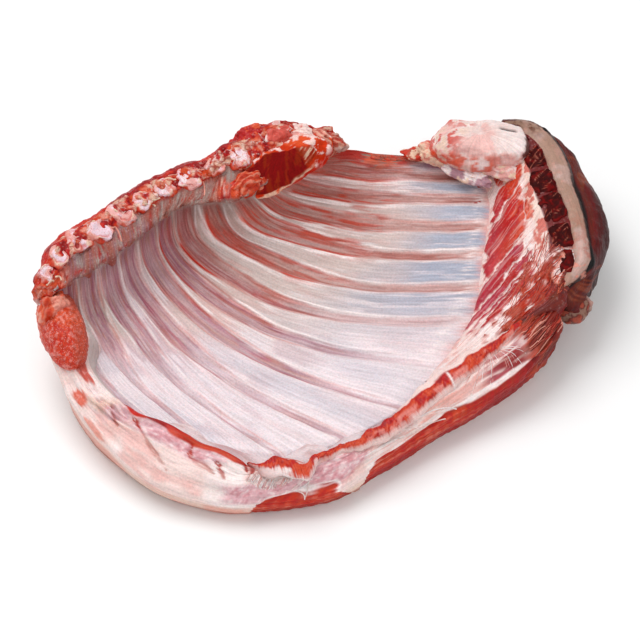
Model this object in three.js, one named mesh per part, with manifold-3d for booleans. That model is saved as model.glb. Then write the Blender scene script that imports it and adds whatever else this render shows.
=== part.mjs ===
// A side of raw lamb ribs, lying with the inside of the rib cage up.
// Millimetres: X runs from the loin end to the breast, Y from the belly to the neck, Z up.
// The origin is on the table, under the middle of the piece.

import * as THREE from 'three';
import { mergeVertices } from 'three/addons/utils/BufferGeometryUtils.js';
import Module from 'manifold-3d';

const wasm = await Module();
wasm.setup();

// Driving dimensions
const fitGap = 0.3; // between two pieces that touch
const up = new THREE.Vector3(0, 0, 1);
const toCentre = [-4.8, -13.4, 0]; // from the lines below to the middle of the whole piece

// The lining of the rib cage hangs on five guide lines, from the backbone to the costal arch.
// Each has a point at every one of these ribs, counted from the neck.
const guideRibs = [0.6, 2.5, 4.5, 6.5, 8.5, 10.5, 12.5, 13.6];
const guideShares = [0, 0.12, 0.35, 0.66, 1];
const guideLines = [
  [
    [2, 140, 84], [-36, 113, 90], [-66, 88, 91], [-111, 78, 93],
    [-138, 53, 92], [-167, 22, 90], [-197, 0, 88], [-209, -8, 84],
  ],
  [
    [21, 158, 70], [-20, 129, 62], [-51, 94, 56], [-110, 82, 50],
    [-138, 59, 50], [-166, 21, 52], [-199, 1, 60], [-209, -3, 62],
  ],
  [
    [49, 166, 58], [21, 136, 42], [-2, 92, 30], [-62, 51, 25],
    [-104, 22, 26], [-142, -12, 30], [-192, -19, 40], [-202, -29, 44],
  ],
  [
    [81, 170, 52], [78, 137, 36], [62, 82, 24], [12, 20, 20],
    [-36, -31, 20], [-102, -62, 25], [-173, -54, 36], [-178, -63, 40],
  ],
  [
    [130, 162, 54], [145, 128, 44], [138, 72, 38], [127, 3, 34],
    [64, -82, 32], [-30, -128, 32], [-130, -105, 38], [-139, -110, 40],
  ],
];
const firstPlace = 0.5; // where the lining ends, past the first and the last rib
const lastPlace = 13.6;
const wallThickness = 16.5; // ribs and the muscle outside them
const archThickness = 25; // the wall grows to this at the costal arch
const neckThin = 0.55; // and thins to this share at the neck
const sag = 5; // its weight presses the underside flat on the table over this height

const ribCount = 13;
const ribWidth = 13;
const ribDepth = 7;
const ribProud = 1.6; // how far a rib lifts the lining
const ribFrom = 0.03; // the ends of a rib, as shares of the way across the lining
const ribTo = 0.96;
const firstRibFrom = 0.22; // the first one starts under the neck muscle
const lastRibTo = 0.5; // the last one is short and narrow
const lastRibNarrow = 0.65;
const ribEndWall = 0.002; // the groove of a rib closes over this share
const grooveGap = 0.5; // round a rib in its groove, whose facets are twisted
const openAbove = 3; // the room for a layer is cut up to this height over it

// The inner edge of the sawn face of the backbone, at the same ribs as the guide lines
const chineLine = [
  [10, 154, 90], [-27, 128, 103], [-62, 106, 100], [-102, 91, 99],
  [-136, 68, 98], [-169, 40, 96], [-196, 17, 93], [-211, -5, 87],
];
const chineFrom = 0.3; // where it starts and ends, counted in ribs
const chineTo = 13.9;
const chineRoot = 1.2; // its root inside the wall starts here
const chineFace = 18; // width of the sawn face
const chineTilt = 6; // the face rises by this towards the back
const chineBack = 8; // meat behind the face
const chineHump = { size: 5, from: 4.6, to: 6.2 }; // it stands higher and wider as far as the neck muscle
const chineHeights = [7, 30, 56]; // of the back's edge, middle and foot, below the face
const chineEnds = { share: 0.45, neck: 2.4, loin: 12 }; // it narrows to this share, from these ribs on
const firstVertebra = 4; // the ones before it lie under the neck muscle
const lastVertebra = 13;
const vertebraFrom = 4.5; // the places of these two, counted in ribs
const vertebraTo = 13.3;
const vertebra = { length: 17, width: 15, depth: 13, proud: 2 };

// The belly flap: the lip where the midriff was cut off, and the hem where the belly was.
// Both run from the loin end round the front to the tail of the breastbone.
const lipLine = [
  [-205, -5, 68], [-185, -27, 58], [-182, -51, 50], [-164, -78, 46],
  [-138, -101, 44], [-99, -121, 42], [-53, -144, 40],
  [-15, -137, 40], [19, -124, 40], [50, -105, 40], [85, -73, 42], [122, -39, 44], [150, -21, 50], [175, 6, 58],
];
const hemLine = [
  [-220, -6, 72], [-215, -34, 62], [-204, -56, 48], [-192, -81, 40],
  [-169, -112, 34], [-129, -148, 26], [-81, -164, 20],
  [-44, -165, 18], [8, -156, 19], [50, -128, 24], [93, -97, 26], [129, -75, 30], [165, -49, 40], [192, -14, 50],
];
const flankPuff = 5; // the flap swells by this between lip and hem
const flankThickness = 16; // at the lip
// How far its cut edge is off the table, at the loin end as far as loinTo and at the breast from breastFrom on
const flankFoot = { loin: 36, middle: 2, breast: 14, loinTo: 0.3, breastFrom: 0.8 };
const flankSteps = 30; // sections along the flap; the two pieces below begin and end on one
const flankFat = { thickness: 6, proud: 1.5, from: 5, to: 26 };
const midriff = { width: 12, height: 9, proud: 4, from: 13, to: 28 };

// The breast: the inner edge of the sawn breastbone, from its tail to the neck
const sternumLine = [
  [178, 2, 62], [182, 35, 70], [183, 69, 74], [175, 109, 76], [170, 142, 78], [157, 157, 80], [118, 164, 72],
];
const boneWidth = 15;
const boneTilt = 4; // the sawn face rises by this across its width
const fatWidth = 13;
const fatCrown = 1.5; // the fat stands up by this between its sides
const breastMuscle = [5, 11, 24, 29, 18, 8, 4]; // its width at the points of the sternum line
const breastMuscleDrop = { tail: 24, neck: 10 }; // its side is this much lower than the bone
const breastEnds = { meat: [0, 0.9], fat: [0.03, 0.88], muscle: [0.03, 0.86] }; // shares of the sternum line
const breastSteps = 12;
const breastRootFrom = 7.9; // the breast begins at this rib of the costal arch
const breastRootDepth = 16; // and reaches into the wall by this
const breastUnder = 16; // how far the outer muscle is lifted off the table
const breastTail = 44; // and how far at its tail
const sternebraCount = 6;
const sternebra = { gap: 1.2, depth: 9, proud: 1, from: 0.1, to: 0.84 };
const chestMuscle = { thickness: 5, proud: 1.5, lobes: 8, lobeHeight: 1.5, from: 0.1, to: 0.8 };

// Lumps: centre, radii, and the turn about the upright axis in degrees
const neckMuscle = { centre: [-30, 123, 91], radii: [46, 17, 16], turn: 38 };
const loinMuscle = { centre: [-203, -26, 58], radii: [38, 16, 18], turn: 110 };
const breastCap = { centre: [133, 161, 74], radii: [41, 22, 19], turn: -8 };
const cartilageTip = { centre: [205, 5, 36], radii: [15, 9, 6], turn: 30 };

const looks = {
  meat: { color: 0xc07a70, roughness: 0.5, metalness: 0 },
  bone: { color: 0xdec8ca, roughness: 0.45, metalness: 0 },
  fat: { color: 0xeed0cc, roughness: 0.5, metalness: 0 },
  muscle: { color: 0xbe554c, roughness: 0.5, metalness: 0 },
  marrow: { color: 0x582720, roughness: 0.4, metalness: 0 },
  crust: { color: 0x67423a, roughness: 0.6, metalness: 0 },
};

const ease = (from, to, x) => THREE.MathUtils.smoothstep(x, from, to);
const mix = (a, b, t) => a + (b - a) * t;

// A smooth curve through rows at the places xs: cubic, with each slope taken from its neighbours
function smooth(xs, rows, x) {
  const last = xs.length - 1;
  const step = (i, k) => (rows[i + 1][k] - rows[i][k]) / (xs[i + 1] - xs[i]);
  const inner = (i, k) => {
    const before = xs[i] - xs[i - 1];
    const after = xs[i + 1] - xs[i];
    return (step(i - 1, k) * after + step(i, k) * before) / (before + after);
  };
  const slope = (i, k) => {
    if (i === 0) return 1.5 * step(0, k) - 0.5 * inner(1, k);
    if (i === last) return 1.5 * step(last - 1, k) - 0.5 * inner(last - 1, k);
    return inner(i, k);
  };
  let i = 0;
  while (i < last - 1 && x >= xs[i + 1]) i += 1;
  const h = xs[i + 1] - xs[i];
  const t = (x - xs[i]) / h;
  const start = 2 * t ** 3 - 3 * t ** 2 + 1;
  const leave = (t ** 3 - 2 * t ** 2 + t) * h;
  const arrive = (t ** 3 - t ** 2) * h;
  return rows[i].map((_, k) => (
    start * rows[i][k] + (1 - start) * rows[i + 1][k] + leave * slope(i, k) + arrive * slope(i + 1, k)
  ));
}

// A line at a share of its length, counted by its points
function linePoint(line, share) {
  const places = line.map((_, i) => i / (line.length - 1));
  return new THREE.Vector3(...smooth(places, line, share));
}

// The level direction to the right of a path, seen along it from above
function rightOf(path, place) {
  const e = 1e-3;
  const along = path(place + e).sub(path(place - e));
  return new THREE.Vector3(along.y, -along.x, 0).normalize();
}

// A point of the lining: share 0 is at the backbone and 1 at the costal arch
function liningPoint(share, place) {
  const across = guideLines.map((line) => smooth(guideRibs, line, place));
  return new THREE.Vector3(...smooth(guideShares, across, share));
}

// The direction out of the rib cage at that point
function outward(share, place) {
  const e = 1e-3;
  const along = liningPoint(share + e, place).sub(liningPoint(share - e, place));
  const over = liningPoint(share, place + e).sub(liningPoint(share, place - e));
  return along.cross(over).normalize();
}

const chinePoint = (place) => new THREE.Vector3(...smooth(guideRibs, chineLine, place));
const sternumPoint = (share) => linePoint(sternumLine, share);

// The top of the belly flap: 0 across is the lip and 1 the hem
function flankTop(share, across) {
  const point = linePoint(lipLine, share).lerp(linePoint(hemLine, share), across);
  return point.addScaledVector(up, flankPuff * Math.sin(Math.PI * THREE.MathUtils.clamp(across, 0, 1)));
}

// The edge of the lining where the breast begins: it follows the costal arch, then turns along the first rib
function breastRoot(share) {
  const corner = 0.8;
  const inset = 0.7;
  const place = mix(breastRootFrom, firstPlace, Math.min(share / corner, 1));
  const across = mix(0.985, 0.85, Math.max(share - corner, 0) / (1 - corner));
  return liningPoint(across, place).addScaledVector(outward(across, place), -inset);
}

// The slope from there up to the breastbone
const chestTop = (share, across) => breastRoot(share).lerp(sternumPoint(share), across);

// A closed mesh over its points and faces, turned so that the faces look out
function closed(points, faces) {
  const volume = faces.reduce((sum, [a, b, c]) => (
    sum + points[a].dot(new THREE.Vector3().crossVectors(points[b], points[c]))
  ), 0);
  const turned = volume < 0 ? faces.map(([a, b, c]) => [a, c, b]) : faces;
  return new THREE.BufferGeometry()
    .setAttribute('position', new THREE.Float32BufferAttribute(points.flatMap((p) => p.toArray()), 3))
    .setIndex(turned.flat());
}

const middle = (ring) => ring.reduce((sum, p) => sum.add(p), new THREE.Vector3()).divideScalar(ring.length);

// The flat end of a ring: its first points are the top edge, and the rest come back along the bottom
function endFaces(size, top) {
  const faces = [];
  let a = 0;
  let b = size - 1;
  while (a < top - 1 || b > top) {
    const nextTop = (a + 1) / (top - 1);
    const nextBottom = (size - b) / (size - top - 1);
    if (b === top || (a < top - 1 && nextTop <= nextBottom)) {
      faces.push([a + 1, a, b]);
      a += 1;
    } else {
      faces.push([a, b, b - 1]);
      b -= 1;
    }
  }
  return faces;
}

// A tube over rings of points, closed at both ends
function tube(rings, top = rings[0].length / 2) {
  const size = rings[0].length;
  const faces = endFaces(size, top);
  const start = (rings.length - 1) * size;
  faces.push(...endFaces(size, top).map(([a, b, c]) => [start + a, start + c, start + b]));
  for (let i = 0; i + 1 < rings.length; i += 1) {
    for (let j = 0; j < size; j += 1) {
      const next = (j + 1) % size;
      const [a, b, c, d] = [i * size + j, i * size + next, (i + 1) * size + next, (i + 1) * size + j];
      faces.push([a, b, c], [a, c, d]);
    }
  }
  return closed(rings.flat(), faces);
}

// The same rings, moved out by a gap all round and at both ends
function swollen(rings, gap) {
  const last = rings.length - 1;
  return rings.map((ring, i) => {
    const along = middle(rings[Math.min(i + 1, last)]).sub(middle(rings[Math.max(i - 1, 0)])).normalize();
    const centre = middle(ring);
    const edges = ring.map((p, j) => ring[(j + 1) % ring.length].clone().sub(p));
    const turn = ring.reduce((sum, p, j) => sum + p.clone().sub(centre).cross(edges[j]).dot(along), 0);
    const end = i === 0 ? -gap : i === last ? gap : 0;
    return ring.map((p, j) => {
      const before = edges[(j + ring.length - 1) % ring.length].clone().normalize();
      const away = before.add(edges[j].clone().normalize()).cross(along).multiplyScalar(Math.sign(turn));
      return p.clone().addScaledVector(away.normalize(), gap).addScaledVector(along, end);
    });
  });
}

// A ring with its top edge raised, so that the room it cuts is open above
const lifted = (ring, lift) => ring.map((point, i) => (
  i < ring.length / 2 ? point.addScaledVector(up, lift) : point
));

// Rings of a layer between two surfaces, each a function of the ring's share and the share across it
function layer(top, bottom, rings, across, from = 0, to = 1) {
  return Array.from({ length: rings + 1 }, (_, i) => {
    const share = mix(from, to, i / rings);
    const upper = Array.from({ length: across + 1 }, (_, j) => top(share, j / across));
    const lower = Array.from({ length: across + 1 }, (_, j) => bottom(share, 1 - j / across));
    return [...upper, ...lower];
  });
}

// Rings of a lump: level slices through a stretched ball, from its bottom to its top
function lump({ centre, radii, turn }, slices = 6, sides = 11) {
  const angle = THREE.MathUtils.degToRad(turn);
  return Array.from({ length: slices + 1 }, (_, i) => {
    const rise = mix(-0.46, 0.46, i / slices) * Math.PI;
    return Array.from({ length: sides }, (_, j) => {
      const side = (2 * Math.PI * j) / sides;
      return new THREE.Vector3(
        radii[0] * Math.cos(rise) * Math.cos(side),
        radii[1] * Math.cos(rise) * Math.sin(side),
        radii[2] * Math.sin(rise),
      ).applyAxisAngle(up, angle).add(new THREE.Vector3(...centre));
    });
  });
}

function solidOf(rings, top) {
  const merged = mergeVertices(tube(rings, top), 1e-4);
  return new wasm.Manifold(new wasm.Mesh({
    numProp: 3,
    vertProperties: merged.attributes.position.array,
    triVerts: new Uint32Array(merged.index.array),
  }));
}

function geometryOf(solid) {
  const made = solid.getMesh();
  return new THREE.BufferGeometry()
    .setAttribute('position', new THREE.BufferAttribute(made.vertProperties, 3))
    .setIndex(new THREE.BufferAttribute(made.triVerts, 1));
}

// The frame of a rib at a share of the way across the lining: step(over, down) is a point of its section
function ribSection(number, share) {
  const half = (ribWidth / 2) * (number === ribCount ? lastRibNarrow : 1);
  const out = outward(share, number);
  const along = liningPoint(share + 1e-3, number).sub(liningPoint(share - 1e-3, number)).normalize();
  const across = out.clone().cross(along);
  const step = (over, down, gap = 0) => liningPoint(share, number)
    .addScaledVector(across, over * half + Math.sign(over) * gap)
    .addScaledVector(out, down);
  return { along, step };
}

// The shares at which the wall and the ribs have a section
const ribStart = (number) => (number === 1 ? firstRibFrom : ribFrom);
const ribEnd = (number) => (number === ribCount ? lastRibTo : ribTo);
const ribShares = [ribFrom, 0.08, 0.14, firstRibFrom, 0.31, 0.4, lastRibTo, 0.61, 0.72, 0.84, ribTo];
const wallShares = [
  0, ribFrom - ribEndWall, firstRibFrom - ribEndWall, ...ribShares,
  lastRibTo + ribEndWall, ribTo + ribEndWall, 1,
];
wallShares.sort((a, b) => a - b);

// The wall of the rib cage: the lining on top with a groove for every rib, the outside of the muscle below
function wall() {
  const underSteps = 10;
  return wallShares.map((share) => {
    const ring = [liningPoint(share, firstPlace)];
    for (let number = 1; number <= ribCount; number += 1) {
      const { step } = ribSection(number, share);
      const depth = share >= ribStart(number) && share <= ribEnd(number) ? ribDepth + grooveGap : 0;
      const groove = [[-1, 0], [-0.7, depth], [0.7, depth], [1, 0]];
      ring.push(...groove.map(([over, down]) => step(over, down, grooveGap)));
    }
    ring.push(liningPoint(share, lastPlace));
    const thickness = mix(wallThickness, archThickness, ease(0.4, 1, share));
    for (let i = 0; i <= underSteps; i += 1) {
      const place = mix(lastPlace, firstPlace, i / underSteps);
      const neck = mix(neckThin, 1, ease(firstPlace, 2, place));
      const point = liningPoint(share, place).addScaledVector(outward(share, place), thickness * neck);
      ring.push(point.setZ(Math.max(point.z - sag, 0)));
    }
    return ring;
  });
}

// The meat that carries the split backbone along the top of the wall
function chine() {
  const rings = [];
  const steps = 16;
  for (let i = 0; i <= steps; i += 1) {
    const place = mix(chineFrom, chineTo, i / steps);
    const out = rightOf(chinePoint, place);
    const hump = chineHump.size * (1 - ease(chineHump.from, chineHump.to, place));
    const neck = ease(chineFrom, chineEnds.neck, place);
    const loin = ease(chineEnds.loin, chineTo, place);
    const full = mix(chineEnds.share, 1, neck * (1 - loin));
    const step = (width, rise) => chinePoint(place).addScaledVector(out, width * full).addScaledVector(up, rise * full);
    const inside = Math.max(place, chineRoot);
    const under = (share, depth) => liningPoint(share, inside).addScaledVector(outward(share, inside), depth);
    const low = under(0.25, wallThickness - 5);
    const [edge, waist, foot] = chineHeights;
    rings.push([
      under(0.01, ribDepth + 4),
      under(0.012, -0.8),
      step(0, 0),
      step(chineFace + hump, chineTilt + hump),
      step(chineFace + chineBack + hump, chineTilt + hump - edge),
      step(chineFace + chineBack + 2, -waist),
      step(chineFace - 2, -foot),
      low.setZ(Math.max(low.z, 2)),
      under(0.1, ribDepth + 5),
    ]);
  }
  return rings;
}

// The white layer covers this much of the flap, from the lip or the midriff strip to just short of the hem
const fatInner = (share) => mix(0.06, 0.42, ease(0.36, 0.5, share));
const fatOuter = (share) => mix(0.95, 0.7, ease(0.5, 0.8, share));
const fatAcross = (share, across) => mix(fatInner(share), fatOuter(share), across);

// The belly flap, down to its cut edge on the table
function flank() {
  const rings = [];
  for (let i = 0; i <= flankSteps; i += 1) {
    const share = i / flankSteps;
    const lip = linePoint(lipLine, share);
    const hem = linePoint(hemLine, share);
    const { loin, middle: low, breast, loinTo, breastFrom } = flankFoot;
    const foot = low + loin * (1 - ease(0, loinTo, share)) + breast * ease(breastFrom, 1, share);
    const inside = -mix(0.3, 1, ease(0.3, 0.42, share) * (1 - ease(0.7, 0.85, share))); // reaches into the wall
    rings.push([
      flankTop(share, inside).setZ(lip.z - flankThickness),
      lip,
      ...[0, 1 / 3, 2 / 3, 1].map((across) => flankTop(share, fatAcross(share, across))),
      hem,
      flankTop(share, 0.98).setZ(mix(foot, hem.z, 0.6)),
      flankTop(share, 0.82).setZ(foot),
      flankTop(share, inside).setZ(foot + 3),
    ]);
  }
  return rings;
}

// How far the underside of the breast is off the table
const breastLift = (share) => mix(breastTail, breastUnder, ease(0, 0.35, share));

// The breast under the chest muscle and the breastbone
function breast() {
  const rings = [];
  for (let i = 0; i <= breastSteps; i += 1) {
    const share = mix(...breastEnds.meat, i / breastSteps);
    const root = breastRoot(share);
    const bone = sternumPoint(share);
    const out = rightOf(sternumPoint, share);
    const inWall = root.clone().addScaledVector(out, -10);
    const side = bone.clone().addScaledVector(out, boneWidth);
    rings.push([
      inWall.clone().setZ(root.z - breastRootDepth),
      root,
      bone,
      side.clone().addScaledVector(up, boneTilt),
      side.clone().setZ(breastLift(share) - 6),
      inWall.clone().setZ(root.z - breastRootDepth - 12),
    ]);
  }
  return rings;
}

// The fat outside the breastbone, right through from the top to the underside
function breastFat() {
  const rings = [];
  for (let i = 0; i <= breastSteps; i += 1) {
    const share = mix(...breastEnds.fat, i / breastSteps);
    const out = rightOf(sternumPoint, share);
    const step = (width, rise) => sternumPoint(share).addScaledVector(out, width).addScaledVector(up, rise);
    const inner = boneWidth + fitGap;
    rings.push([
      step(inner, boneTilt),
      step(inner + fatWidth / 2, boneTilt + fatCrown),
      step(inner + fatWidth, boneTilt / 2),
      step(inner + fatWidth, 0).setZ(breastLift(share) - 3),
      step(inner, 0).setZ(breastLift(share) - 6),
    ]);
  }
  return rings;
}

// The muscle on the outside of the breast
function outerMuscle() {
  const rings = [];
  const places = breastMuscle.map((_, i) => i / (breastMuscle.length - 1));
  for (let i = 0; i <= breastSteps; i += 1) {
    const share = mix(...breastEnds.muscle, i / breastSteps);
    const out = rightOf(sternumPoint, share);
    const step = (width, rise) => sternumPoint(share).addScaledVector(out, width).addScaledVector(up, rise);
    const inner = boneWidth + fatWidth + 2 * fitGap;
    const [width] = smooth(places, breastMuscle.map((w) => [w]), share);
    const side = inner + width;
    const under = breastLift(share);
    const sideHeight = sternumPoint(share).z - mix(breastMuscleDrop.tail, breastMuscleDrop.neck, share);
    rings.push([
      step(inner, 1),
      step(mix(inner, side, 0.6), -5),
      step(side, 0).setZ(sideHeight),
      step(side - 2, 0).setZ(mix(under, sideHeight, 0.5)),
      step(mix(inner, side, 0.6), 0).setZ(under),
      step(inner, 0).setZ(under - 3),
    ]);
  }
  return rings;
}

// One rib, laid along the lining with its inner face showing
function rib(number) {
  const shares = ribShares.filter((share) => share >= ribStart(number) && share <= ribEnd(number));
  return shares.map((share, i) => {
    const { along, step } = ribSection(number, share);
    const end = i === 0 ? fitGap : i === shares.length - 1 ? -fitGap : 0;
    const ring = [
      step(-0.7, ribDepth), step(0.7, ribDepth), step(1, 0.5),
      step(0.45, -ribProud), step(-0.45, -ribProud), step(-1, 0.5),
    ];
    return ring.map((point) => point.addScaledVector(along, end));
  });
}

// A block of bone set in a face: rings across it from end to end, the end ones smaller
function block(centre, along, out, { length, width, depth, proud }) {
  const ends = [[-0.5, 0.72], [-0.36, 1], [0.36, 1], [0.5, 0.72]];
  const normal = out.clone().cross(along).normalize();
  if (normal.z < 0) normal.negate();
  return ends.map(([place, size]) => {
    const step = (over, rise) => centre.clone()
      .addScaledVector(along, place * length)
      .addScaledVector(out, over * size * width / 2)
      .addScaledVector(normal, rise);
    const top = proud * size;
    const foot = -depth * size;
    return [
      step(-1, top - 2.5), step(-0.65, top), step(0.65, top), step(1, top - 2.5), step(0.85, foot), step(-0.85, foot),
    ];
  });
}

// Where the sawn vertebrae lie along the chine, the same distance apart
function vertebraPlaces() {
  const samples = 200;
  const places = Array.from({ length: samples + 1 }, (_, i) => mix(vertebraFrom, vertebraTo, i / samples));
  const lengths = [0];
  for (let i = 1; i <= samples; i += 1) {
    lengths.push(lengths[i - 1] + chinePoint(places[i]).distanceTo(chinePoint(places[i - 1])));
  }
  const count = lastVertebra - firstVertebra;
  return Array.from({ length: count + 1 }, (_, i) => (
    places[lengths.findIndex((length) => length >= (lengths[samples] * i) / count - 1e-9)]
  ));
}

function sawnVertebra(place) {
  const out = rightOf(chinePoint, place);
  const slope = out.clone().multiplyScalar(chineFace).addScaledVector(up, chineTilt).normalize();
  const along = new THREE.Vector3(-out.y, out.x, 0);
  const centre = chinePoint(place).addScaledVector(slope, chineFace / 2);
  return block(centre, along, slope, vertebra);
}

function sawnSternebra(index) {
  const { from, to, gap, depth, proud } = sternebra;
  const start = sternumPoint(mix(from, to, index / sternebraCount));
  const end = sternumPoint(mix(from, to, (index + 1) / sternebraCount));
  const share = mix(from, to, (index + 0.5) / sternebraCount);
  const slope = rightOf(sternumPoint, share).multiplyScalar(boneWidth).addScaledVector(up, boneTilt).normalize();
  const along = end.clone().sub(start);
  const length = along.length() - gap;
  const centre = sternumPoint(share).addScaledVector(slope, boneWidth / 2);
  return block(centre, along.normalize(), slope, { length, width: boneWidth - 1.5, depth, proud });
}

// The strip of midriff left along the lip of the belly flap
function midriffStrip() {
  const rings = [];
  const lip = (share) => linePoint(lipLine, share);
  for (let i = midriff.from; i <= midriff.to; i += 1) {
    const share = i / flankSteps;
    const out = rightOf(lip, share);
    const full = Math.sin(Math.PI * mix(0.12, 0.88, (i - midriff.from) / (midriff.to - midriff.from))) ** 0.5;
    const step = (over, rise) => lip(share).addScaledVector(out, over * midriff.width).addScaledVector(up, rise * full);
    const low = midriff.proud - midriff.height;
    rings.push([
      step(-0.1, 0),
      step(0.15, midriff.proud),
      step(0.6, midriff.proud + 1),
      step(1, 1),
      step(0.8, low),
      step(0, low),
    ]);
  }
  return rings;
}

// The white layer on the belly flap
function flankFatLayer() {
  const at = (share, across, rise) => flankTop(share, fatAcross(share, across)).addScaledVector(up, rise);
  const edge = (across) => 1 - Math.abs(2 * across - 1) ** 4;
  const top = (share, across) => at(share, across, flankFat.proud * edge(across));
  const bottom = (share, across) => at(share, across, flankFat.proud - flankFat.thickness);
  const { from, to } = flankFat;
  return layer(top, bottom, to - from, 3, from / flankSteps, to / flankSteps);
}

// The fan of chest muscle between the rib ends and the breastbone, in lobes
function chestMuscleLayer() {
  const { thickness, proud, lobes, lobeHeight, from, to } = chestMuscle;
  const outer = (share) => mix(0.62, 0.8, Math.abs(2 * share - 1));
  const at = (share, across, rise) => chestTop(share, mix(0.04, outer(share), across)).addScaledVector(up, rise);
  const lobe = (share) => lobeHeight * Math.abs(Math.sin((Math.PI * lobes * (share - from)) / (to - from)));
  const edge = (across) => 1 - Math.abs(2 * across - 1) ** 4;
  const top = (share, across) => at(share, across, proud + lobe(share) * edge(across));
  const bottom = (share, across) => at(share, across, proud - thickness);
  return layer(top, bottom, 2 * lobes, 3, from, to);
}

// Every piece in the order of cutting: each gives way to the ones before it
const pieces = [];
const add = (name, look, rings, lift = 0) => pieces.push({ name, look, rings, lift });
const numbered = (name, number) => `${name}_${String(number).padStart(2, '0')}`;

for (let number = 1; number <= ribCount; number += 1) add(numbered('rib', number), 'bone', rib(number));
vertebraPlaces().forEach((place, i) => add(numbered('vertebra', firstVertebra + i), 'bone', sawnVertebra(place)));
for (let index = 0; index < sternebraCount; index += 1) {
  add(numbered('sternebra', index + 1), 'marrow', sawnSternebra(index));
}
add('neck_muscle', 'muscle', lump(neckMuscle));
add('loin_muscle', 'muscle', lump(loinMuscle));
add('breast_cap', 'fat', lump(breastCap));
add('breast_fat', 'fat', breastFat());
add('breast_muscle', 'crust', outerMuscle());
add('cartilage_tip', 'fat', lump(cartilageTip, 4, 8));
add('midriff', 'muscle', midriffStrip());
add('chest_muscle', 'muscle', chestMuscleLayer(), openAbove);
add('flank_fat', 'fat', flankFatLayer(), openAbove);

const group = new THREE.Group();

function show(name, look, solid) {
  const geometry = geometryOf(solid).translate(...toCentre);
  const mesh = new THREE.Mesh(geometry, new THREE.MeshStandardMaterial(looks[look]));
  mesh.name = name;
  group.add(mesh);
}

// The room that the pieces so far take up, with the gap round them
const room = {};
for (const { name, look, rings, lift } of pieces) {
  const kind = name.startsWith('rib') ? 'ribs' : 'others';
  const solid = Object.values(room).reduce((left, taken) => left.subtract(taken), solidOf(rings));
  show(name, look, solid);
  const own = solidOf(swollen(rings, fitGap).map((ring) => lifted(ring, lift)));
  room[kind] = room[kind] ? room[kind].add(own) : own;
}

// The wall has its own grooves for the ribs, so only the meat added to it is cut round them.
const added = [chine(), flank(), breast()].map((rings) => solidOf(rings).subtract(room.ribs));
const wallTop = 4 * ribCount + 2; // points on the lining in each ring of the wall
const body = added.reduce((sum, solid) => sum.add(solid), solidOf(wall(), wallTop));
show('meat', 'meat', body.subtract(room.others));

export default group;
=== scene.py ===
# A side of raw lamb ribs, lying inside up on a pale table
import math
import bpy
import bmesh
import numpy as np
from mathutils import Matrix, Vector


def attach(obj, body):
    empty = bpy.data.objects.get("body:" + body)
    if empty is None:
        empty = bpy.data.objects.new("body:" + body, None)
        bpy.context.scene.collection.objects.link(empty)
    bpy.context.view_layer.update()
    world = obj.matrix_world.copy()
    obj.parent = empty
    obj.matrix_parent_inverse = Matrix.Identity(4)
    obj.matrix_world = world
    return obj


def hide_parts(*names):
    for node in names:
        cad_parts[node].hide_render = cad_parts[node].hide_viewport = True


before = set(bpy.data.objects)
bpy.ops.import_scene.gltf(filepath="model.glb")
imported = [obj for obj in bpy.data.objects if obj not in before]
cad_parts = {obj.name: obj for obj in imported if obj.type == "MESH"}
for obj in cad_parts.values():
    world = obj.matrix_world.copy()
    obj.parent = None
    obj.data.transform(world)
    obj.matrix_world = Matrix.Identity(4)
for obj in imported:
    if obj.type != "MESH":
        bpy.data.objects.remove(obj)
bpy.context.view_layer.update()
print("frame loaded")

mm = 0.001
toCentre = np.array([-4.8, -13.4, 0.0])  # from the lines below, in mm, to the middle of the piece
up = np.array([0.0, 0.0, 1.0])

# The lines that carry the piece, in mm: the same as in the solids
guideRibs = np.array([0.6, 2.5, 4.5, 6.5, 8.5, 10.5, 12.5, 13.6])
guideShares = np.array([0, 0.12, 0.35, 0.66, 1])
guideLines = np.array([
    [[2, 140, 84], [-36, 113, 90], [-66, 88, 91], [-111, 78, 93],
     [-138, 53, 92], [-167, 22, 90], [-197, 0, 88], [-209, -8, 84]],
    [[21, 158, 70], [-20, 129, 62], [-51, 94, 56], [-110, 82, 50],
     [-138, 59, 50], [-166, 21, 52], [-199, 1, 60], [-209, -3, 62]],
    [[49, 166, 58], [21, 136, 42], [-2, 92, 30], [-62, 51, 25],
     [-104, 22, 26], [-142, -12, 30], [-192, -19, 40], [-202, -29, 44]],
    [[81, 170, 52], [78, 137, 36], [62, 82, 24], [12, 20, 20],
     [-36, -31, 20], [-102, -62, 25], [-173, -54, 36], [-178, -63, 40]],
    [[130, 162, 54], [145, 128, 44], [138, 72, 38], [127, 3, 34],
     [64, -82, 32], [-30, -128, 32], [-130, -105, 38], [-139, -110, 40]],
], float)
chineLine = np.array([
    [10, 154, 90], [-27, 128, 103], [-62, 106, 100], [-102, 91, 99],
    [-136, 68, 98], [-169, 40, 96], [-196, 17, 93], [-211, -5, 87],
], float)
lipLine = np.array([
    [-205, -5, 68], [-185, -27, 58], [-182, -51, 50], [-164, -78, 46], [-138, -101, 44],
    [-99, -121, 42], [-53, -144, 40], [-15, -137, 40], [19, -124, 40], [50, -105, 40],
    [85, -73, 42], [122, -39, 44], [150, -21, 50], [175, 6, 58],
], float)
hemLine = np.array([
    [-220, -6, 72], [-215, -34, 62], [-204, -56, 48], [-192, -81, 40], [-169, -112, 34],
    [-129, -148, 26], [-81, -164, 20], [-44, -165, 18], [8, -156, 19], [50, -128, 24],
    [93, -97, 26], [129, -75, 30], [165, -49, 40], [192, -14, 50],
], float)
sternumLine = np.array([
    [178, 2, 62], [182, 35, 70], [183, 69, 74], [175, 109, 76], [170, 142, 78],
    [157, 157, 80], [118, 164, 72],
], float)
ribCount = 13
ribLength, ribPitch = 240, 27  # mm along a rib and from rib to rib, as the fibres count them
flapLength, flapBreadth = 560, 34
slopeWidth, slopeLength = 42, 200  # of the chest muscle
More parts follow.
